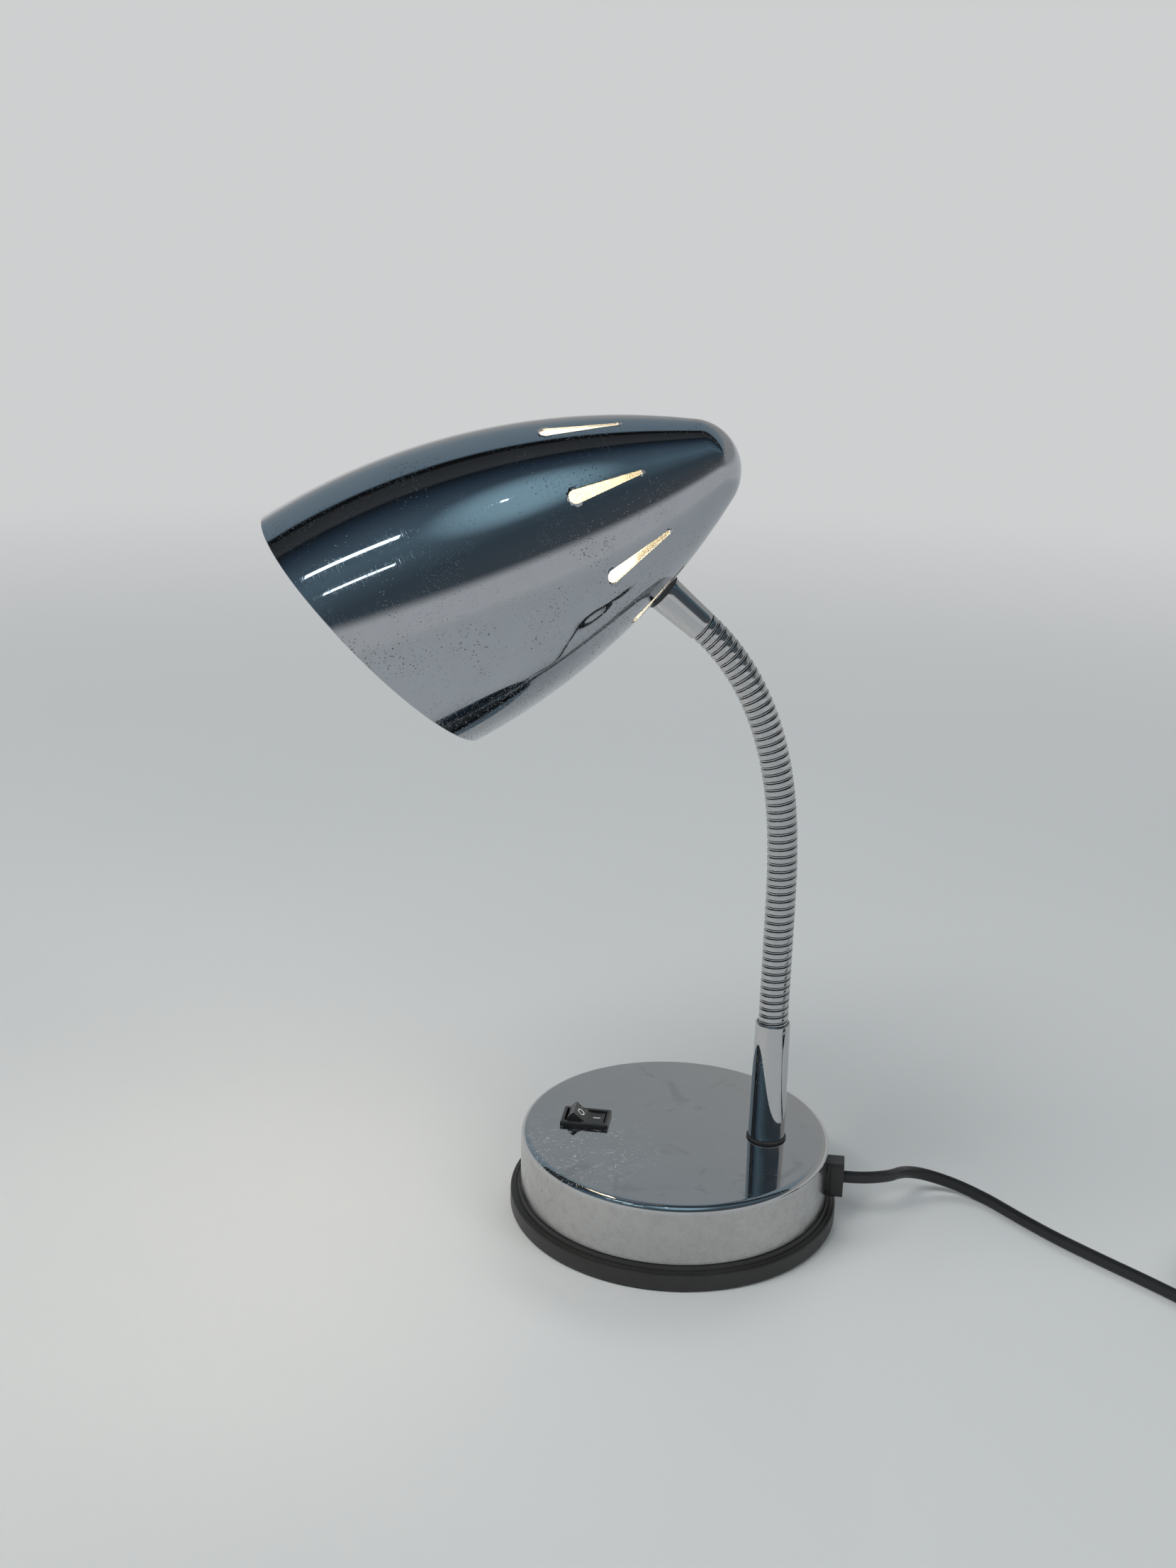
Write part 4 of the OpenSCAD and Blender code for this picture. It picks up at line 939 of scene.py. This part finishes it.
def ball_end(z):
    return [(CORE_R, z - 0.6)] + arc(0, z, CORE_BALL, -7.5, 24.4, 6) + [(CORE_BORE, z + BALL_TOP)]


def socket_end():
    return [(CORE_BORE, 3.0)] + arc(0, 0, CORE_SOCKET, 39.2, 8.5, 6) + [(CORE_R, 0.7)]


def threads(low, high):
    """Outline of the threaded tube's crests and roots from low to high."""
    points = []
    z = low
    while z + THREAD_PITCH <= high:
        points += [(TUBE_R - THREAD_DEPTH, z), (TUBE_R, z + THREAD_PITCH / 2)]
        z += THREAD_PITCH
    return points + [(TUBE_R - THREAD_DEPTH, high)]


def neck_piece(name, body, node, strips, core, place):
    """Wound strips and the core under them, which stand for one of the neck's CAD nodes."""
    verts, faces = [], []
    for section, start, turns in strips:
        more, there = wind(section, start, turns, len(verts))
        verts += more
        faces += there
    first_core = len(faces)
    more, there = lathe(core, place, 48, len(verts))
    verts += more
    faces += there
    obj = make_object(name, [v * MM for v in verts], faces, "neck_chrome")
    # The core takes near-black steel: painted shade for the grooves between the strips
    obj.data.materials.append(materials["core_painted_shade"])
    for i in range(first_core, len(faces)):
        obj.data.polygons[i].material_index = 1
    crease(obj, 50)
    stand_in(obj, body, "neck_chrome", node)


def make_neck():
    foot = COLUMN_TOP + FOOT_STUB
    low, high, shoulder = 26.2, 35.2, 40.2
    core = ([(TUBE_BORE, low), (TUBE_R - THREAD_DEPTH, low)] + threads(low, high)
            + [(TUBE_R, high), (TUBE_R, shoulder), (NECK_R, shoulder), (NECK_R, foot - 6), (CORE_R, foot - 6)]
            + ball_end(foot) + [(CORE_BORE, foot - 2), (TUBE_BORE, foot - 3)])
    neck_piece("neck_foot_turns", "base", "neck_foot_fitting",
               [(WIDE_BAND, FOOT_STUB - 2 * PITCH, 2), (THIN_BAND, FOOT_STUB - 1.5 * PITCH, 2)], core, IN_ARM)
    for k in range(1, LINKS + 1):
        start = FOOT_STUB + (k - 1) * LINK_LEN
        core = socket_end() + ball_end(LINK_LEN)
        neck_piece(f"neck_turns_{k:02d}", f"link_{k:02d}", f"neck_link_{k:02d}",
                   [(WIDE_BAND, start, 3), (THIN_BAND, start + PITCH / 2, 3)], core, in_link(k))
    start = FOOT_STUB + LINKS * LINK_LEN
    flange, low = SEAL_Z - 3, CONTACT_Z + 3.5
    core = (socket_end() + [(CORE_R, HEAD_STUB), (5.4, HEAD_STUB + 0.3), (5.4, flange), (TUBE_R, flange), (TUBE_R, low)]
            + threads(low, HEAD_TUBE_TOP) + [(TUBE_BORE, HEAD_TUBE_TOP), (TUBE_BORE, 5.0)])
    neck_piece("neck_head_turns", "head", "neck_head_fitting",
               [(WIDE_BAND, start, 1.6), (THIN_BAND, start + PITCH / 2, 1.2)], core, IN_HEAD)


make_neck()

# ---- column and collar


def make_column():
    foot, top, h = 7.85, 7.3, 52.8
    profile = ([(TUBE_R + 0.1, 0), (foot - 0.45, 0)] + arc(foot - 0.45, 0.45, 0.45, -80, 0, 4)
               + [(foot - (foot - top) * i / 12, 0.5 + (h - 1.0) * i / 12) for i in range(1, 12)]
               + arc(top - 0.5, h - 0.5, 0.5, 0, 90, 6) + [(6.5, h), (6.4, h - 0.15), (6.4, 3), (TUBE_R + 0.1, 3)])
    solid("column_tube", profile, IN_ARM @ moved(0, 0, COLUMN_Z), "chrome_steel", "base", "column_sleeve")
    gasket = ([(TUBE_R + 0.1, 0), (8.45, 0)] + arc(8.05, 0.6, 0.45, -60, 60, 5) + [(8.1, 1.2), (TUBE_R + 0.1, 1.2)])
    solid("column_seal", gasket, IN_ARM @ moved(0, 0, BASE_H), "gasket_rubber", "base", "column_gasket")


def make_collar():
    low, high, h = 6.5, 7.45, COLLAR_LEN
    profile = (arc(low - 0.1, 0.1, 0.1, -90, 0, 3)
               + [(low + (high - low) * (i / 12) ** 1.1, 0.1 + (h - 0.4) * i / 12) for i in range(1, 12)]
               + arc(high - 0.3, h - 0.3, 0.3, 0, 90, 4)
               + [(TUBE_R + 0.1, h), (TUBE_R + 0.1, h - 3), (5.5, h - 3), (5.5, 5), (6.3, 4.2), (6.3, 0.1)])
    solid("collar_tube", profile, IN_HEAD @ moved(0, 0, HEAD_STUB), "chrome_steel", "head", "head_collar")


make_column()
make_collar()

# ---- base


def cover_profile(inset):
    r, top, bend = COVER_R - inset, BASE_H - inset, COVER_ROUND - inset
    return [(r, COVER_LIFT)] + arc(r - bend, top - bend, bend, 0, 90, 12)


def box_cutter(x0, x1, half_y, z0, z1):
    verts = [Vector((x, y * half_y, z)) * MM for z in (z0, z1) for x, y in ((x0, -1), (x1, -1), (x1, 1), (x0, 1))]
    faces = [(3, 2, 1, 0), (4, 5, 6, 7), (0, 1, 5, 4), (1, 2, 6, 5), (2, 3, 7, 6), (3, 0, 4, 7)]
    return make_object("box_cutter", verts, faces, "bare_steel")


def round_cutter(place, r, h):
    return turned_object("round_cutter", [(0, 0), (r, 0), (r, h), (0, h)], place, 48, "bare_steel")


def make_cover():
    """The pressed cover, with its rounded lower edge and the holes for switch, column and bushing."""
    outer = cover_profile(0)
    inner = cover_profile(SHEET_T)
    edge = arc(COVER_R - SHEET_T / 2, COVER_LIFT + SHEET_T / 2, SHEET_T / 2, -180, 0, 6)
    profile = edge + outer[1:] + [(0, BASE_H), (0, BASE_H - SHEET_T)] + inner[:0:-1]
    obj = turned_object("cover_cap", profile, Matrix(), 240, "chrome_cover")
    half_l, half_w = 9.6, 6.5
    cut(obj, [box_cutter(-SWITCH_X - half_l, -SWITCH_X + half_l, half_w, 30, 40),
              round_cutter(moved(COLUMN_X, 0, 30), 5.2, 10),
              round_cutter(moved(BUSHING_X, 0, EXIT_Z) @ turned(90, "Y"), 6.3, 14)])

    def normal_at(p, face):
        r = hypot(p.x, p.y)
        if abs(face.z) > 0.999 or r < 1e-6:
            return face
        out = Vector((p.x, p.y, 0)) / r
        radial = face.x * out.x + face.y * out.y
        bend_r, bend_z = COVER_R - COVER_ROUND, BASE_H - COVER_ROUND
        if abs(radial) < 0.05 and abs(face.z) < 0.5:
            return face
        if p.z > bend_z - 1e-4 and r > bend_r - 1e-4:
            side = 1 if radial + face.z > 0 else -1
            return (out * (r - bend_r) + Vector((0, 0, p.z - bend_z)) + out * 1e-9) * side
        if p.z > BASE_H - SHEET_T - 1e-4:
            return Vector((0, 0, 1 if face.z > 0 else -1)) if abs(face.z) > 0.5 else face
        if p.z < COVER_LIFT + SHEET_T / 2:
            return out * (r - COVER_R + SHEET_T / 2) + Vector((0, 0, p.z - COVER_LIFT - SHEET_T / 2))
        return out * (1 if radial > 0 else -1) if abs(radial) > 0.9 else face

    set_normals(obj, normal_at)
    stand_in(obj, "base", "chrome_steel", "base_cover")


make_cover()


def make_tray():
    """The black tray: outer wall, ledge with its rib and groove, spigot, and the bosses of the screws."""
    r, wall, low, high = COVER_R + 4.3, COVER_R + 2.4, 0.6, 7.6
    profile = ([(0, 1.6), (62.7, 1.6), (62.7, low)] + arc(r - 0.8, low + 0.8, 0.8, -90, 0, 5)
               + arc(r - 0.55, high - 0.55, 0.55, 0, 80, 5)
               + [(r - 1.0, high + 0.04), (r - 1.05, high - 0.16), (r - 1.3, high - 0.16), (r - 1.35, high + 0.1)]
               + [(wall + 0.02, high + 0.3), (wall - 0.02, high + 0.72)]
               + arc(wall - 0.22, high + 0.65, 0.15, 20, 160, 4)
               + [(wall - 0.45, high + 0.4), (COVER_R + 1.4, high + 0.4), (COVER_R + 0.7, COVER_LIFT)]
               + [(65.5, COVER_LIFT), (65.5, 15.4), (65.1, 15.8), (63.3, 15.8), (63.3, 3.8), (0, 3.8)])
    obj = turned_object("tray_rim", profile, Matrix(), 240, "black_plastic")
    screws = [turned(a, "Z") @ moved(46, 0, 0) for a in (90, 210, 330)]
    cut(obj, [round_cutter(place @ moved(0, 0, 3), 5.8, 4.8) for place in screws], "UNION")
    notch = 8.2
    cut(obj, [round_cutter(place @ moved(0, 0, -1), r, h) for r, h in ((3.6, 5.8), (1.95, 10)) for place in screws]
        + [box_cutter(BUSHING_X, BUSHING_X + 14, notch, EXIT_Z - notch, EXIT_Z + notch)])
    crease(obj, 32)
    stand_in(obj, "base", "black_plastic", "base_tray")


make_tray()

# ---- switch marks


def rocker_face(x):
    """Height of the rocker's hollow faces over its pivot at a distance from its middle, rocker level."""
    tilt = radians(ROCKER_TILT)
    drop, sink, hollow = 3.5, 0.55, 0.3
    corner_a = asin((drop - sink) / ROCKER_R) + tilt
    corner_x, corner_z = ROCKER_R * cos(corner_a), ROCKER_R * sin(corner_a)
    dip = corner_z - corner_x * tan(tilt)
    u = 1 - min(abs(x) / corner_x, 1)
    return corner_z + (dip - corner_z) * u - 4 * hollow * u * (1 - u)


def make_mark(name, points, closed):
    """points are pairs (inner, outer) along the mark's outline, seen from above with the rocker level."""
    place = moved(-SWITCH_X, 0, PIVOT_Z) @ turned(ROCKER_TILT, "Y")
    sunk, proud = 0.03, 0.12
    verts = [(place @ Vector((x, y, rocker_face(x) - sunk + lift))) * MM
             for pair in points for x, y in pair for lift in (0, proud)]
    n = len(points)
    faces = []
    for i in range(n if closed else n - 1):
        a, b = 4 * i, 4 * ((i + 1) % n)
        faces += [(a + 1, b + 1, b + 3, a + 3), (a, a + 2, b + 2, b),
                  (a, b, b + 1, a + 1), (a + 2, a + 3, b + 3, b + 2)]
    if not closed:
        faces += [(0, 1, 3, 2), (4 * n - 4, 4 * n - 2, 4 * n - 1, 4 * n - 3)]
    obj = make_object(name, verts, faces, "mark_white")
    crease(obj, 30)
    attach(obj, "rocker")


def make_marks():
    """The rocker's O and I, printed a little proud of its faces."""
    middle, inner_x, inner_y, line = -3.55, 1.2, 1.35, 0.45
    ring = []
    for i in range(48):
        a = 2 * pi * i / 48
        ring.append([(middle + (inner_x + wide) * cos(a), (inner_y + wide) * sin(a)) for wide in (0, line)])
    make_mark("mark_o", ring, True)
    make_mark("mark_i", [((2.2 + 0.3 * i, -0.24), (2.2 + 0.3 * i, 0.24)) for i in range(11)], False)


make_marks()

# ---- floor and light

HORIZON = (0.62, 0.625, 0.63)
PAPER = 0.62


def make_floor():
    """Pale paper, which fades into the backdrop's colour away from the lamp."""
    g = Graph("floor_paper")
    tone = g.noise(3, 3, 0.5)
    dark, light = PAPER - 0.01, PAPER + 0.02
    g.set(base_color=g.mix(tone, rgb(dark, dark, PAPER - 0.02), rgb(light, light, PAPER + 0.01)),
          roughness=0.7, normal=g.bump(g.noise(500, 3), 0.00004))
    away = g.add("VectorMath", {0: g.place}, operation="LENGTH").outputs["Value"]
    seen = g.add("LightPath").outputs
    seen = g.most(g.most(seen["Is Camera Ray"], seen["Is Glossy Ray"]), seen["Is Transmission Ray"])
    glow = g.add("Emission", {"Color": rgb(*HORIZON), "Strength": 1.0}).outputs[0]
    fade = g.ramp(away, 0.5, 2.2, soft=True)
    blend = g.add("MixShader", {0: g.times(fade, seen), 1: g.shader.outputs[0], 2: glow})
    g.tree.links.new(blend.outputs[0], g.tree.nodes["Material Output"].inputs["Surface"])
    count, radius = 96, 14
    turns = [2 * pi * i / count for i in range(count)]
    verts = [(0, 0, 0)] + [(radius * cos(a), radius * sin(a), 0) for a in turns]
    faces = [(0, i + 1, (i + 1) % count + 1) for i in range(count)]
    make_object("floor", verts, faces, "floor_paper", smooth=False)


def sky_way(high, round_z):
    """Unit vector towards a height and an azimuth, in degrees."""
    high, round_z = radians(high), radians(round_z)
    return Vector((cos(high) * cos(round_z), cos(high) * sin(round_z), sin(high)))


def make_world():
    """A pale sweep all round, and over it a dim room in long bands that lie along the shade."""
    world = bpy.data.worlds.new("studio")
    bpy.context.scene.world = world
    world.use_nodes = True
    g = Graph("studio", world.node_tree)
    axis = (IN_SHADE.to_3x3() @ UP).normalized()
    upright = (UP - axis * axis.z).normalized()
    turn = g.math("ARCTAN2", g.dot(axis.cross(upright)), g.dot(upright))
    bands = g.add("ValToRGB", {"Fac": g.ramp(turn, -pi, pi)})
    stops = bands.color_ramp.elements
    sweep, black = (0.40, 0.40, 0.395), (0.008, 0.009, 0.01)
    for angle, colour in ((-180, sweep), (-72, sweep), (-58, (0.25, 0.31, 0.35)), (-30, (0.20, 0.27, 0.32)),
                          (-29, black), (-24, black), (-23, (0.035, 0.037, 0.038)), (-8, (0.06, 0.064, 0.068)),
                          (-6, (0.012, 0.016, 0.02)), (2, (0.03, 0.05, 0.075)), (14, (0.075, 0.115, 0.15)),
                          (34, (0.12, 0.19, 0.235)), (62, (0.06, 0.085, 0.105)), (100, (0.09, 0.10, 0.11)),
                          (180, sweep)):
        at = (angle + 180) / 360
        stop = stops.new(at) if 0 < at < 1 else stops[0 if at == 0 else -1]
        stop.color = (*colour, 1)
    glow = g.ramp(g.dot(sky_way(61, -76)), cos(radians(21)), 1.0, soft=True)
    dome = g.mix(glow, bands.outputs["Color"], rgb(0.36, 0.55, 0.64))
    height = g.dot((0, 0, 1))
    everywhere = g.mix(g.ramp(height, 0.10, 0.25, soft=True), rgb(*HORIZON), dome)
    g.tree.links.new(everywhere, g.tree.nodes["Background"].inputs["Color"])


def make_light(name, way, far, size, energy, colour=(1, 1, 1), aim=(0, 0, 0.15), mirrored=True, along=None):
    """An area light a distance away from the point that it faces; along is the way of its first side."""
    data = bpy.data.lights.new(name, "AREA")
    data.shape = "RECTANGLE"
    data.size, data.size_y = size
    data.energy = energy
    data.color = colour
    light = linked(name, data)
    side = (along or UP.cross(way)).normalized()
    side = (side - way * side.dot(way)).normalized()
    turn = Matrix((side, way.cross(side), way)).transposed().to_4x4()
    light.matrix_world = Matrix.Translation(Vector(aim) + way * far) @ turn
    light.visible_camera = False
    light.visible_glossy = mirrored


def make_lights():
    """Large soft boxes light the lamp; of all lights only the narrow ones show in its chrome."""
    make_light("key", sky_way(56, -140), 2.6, (1.6, 1.2), 44, mirrored=False)
    make_light("fill", sky_way(38, -28), 2.8, (1.0, 1.6), 15, mirrored=False)
    make_light("rim", sky_way(42, 78), 2.8, (1.8, 0.9), 15, mirrored=False)
    cool = (0.80, 0.95, 1.0)
    shade_at = (-0.11, -0.05, 0.28)
    for name, start, end, wide in (("strip_high", (41, -139), (54, -117), 0.05),
                                   ("strip_low", (31, -119), (38, -102), 0.03)):
        start, end = sky_way(*start), sky_way(*end)
        length = (end - start).length * 1.2
        make_light(name, (start + end).normalized(), 1.2, (length, wide), length * wide * 14, cool, shade_at,
                   along=end - start)
    make_light("spark", sky_way(62, -80), 1.2, (0.03, 0.02), 0.02, cool, shade_at)


make_floor()
make_world()
make_lights()

bpy.context.scene.view_settings.view_transform = "Standard"
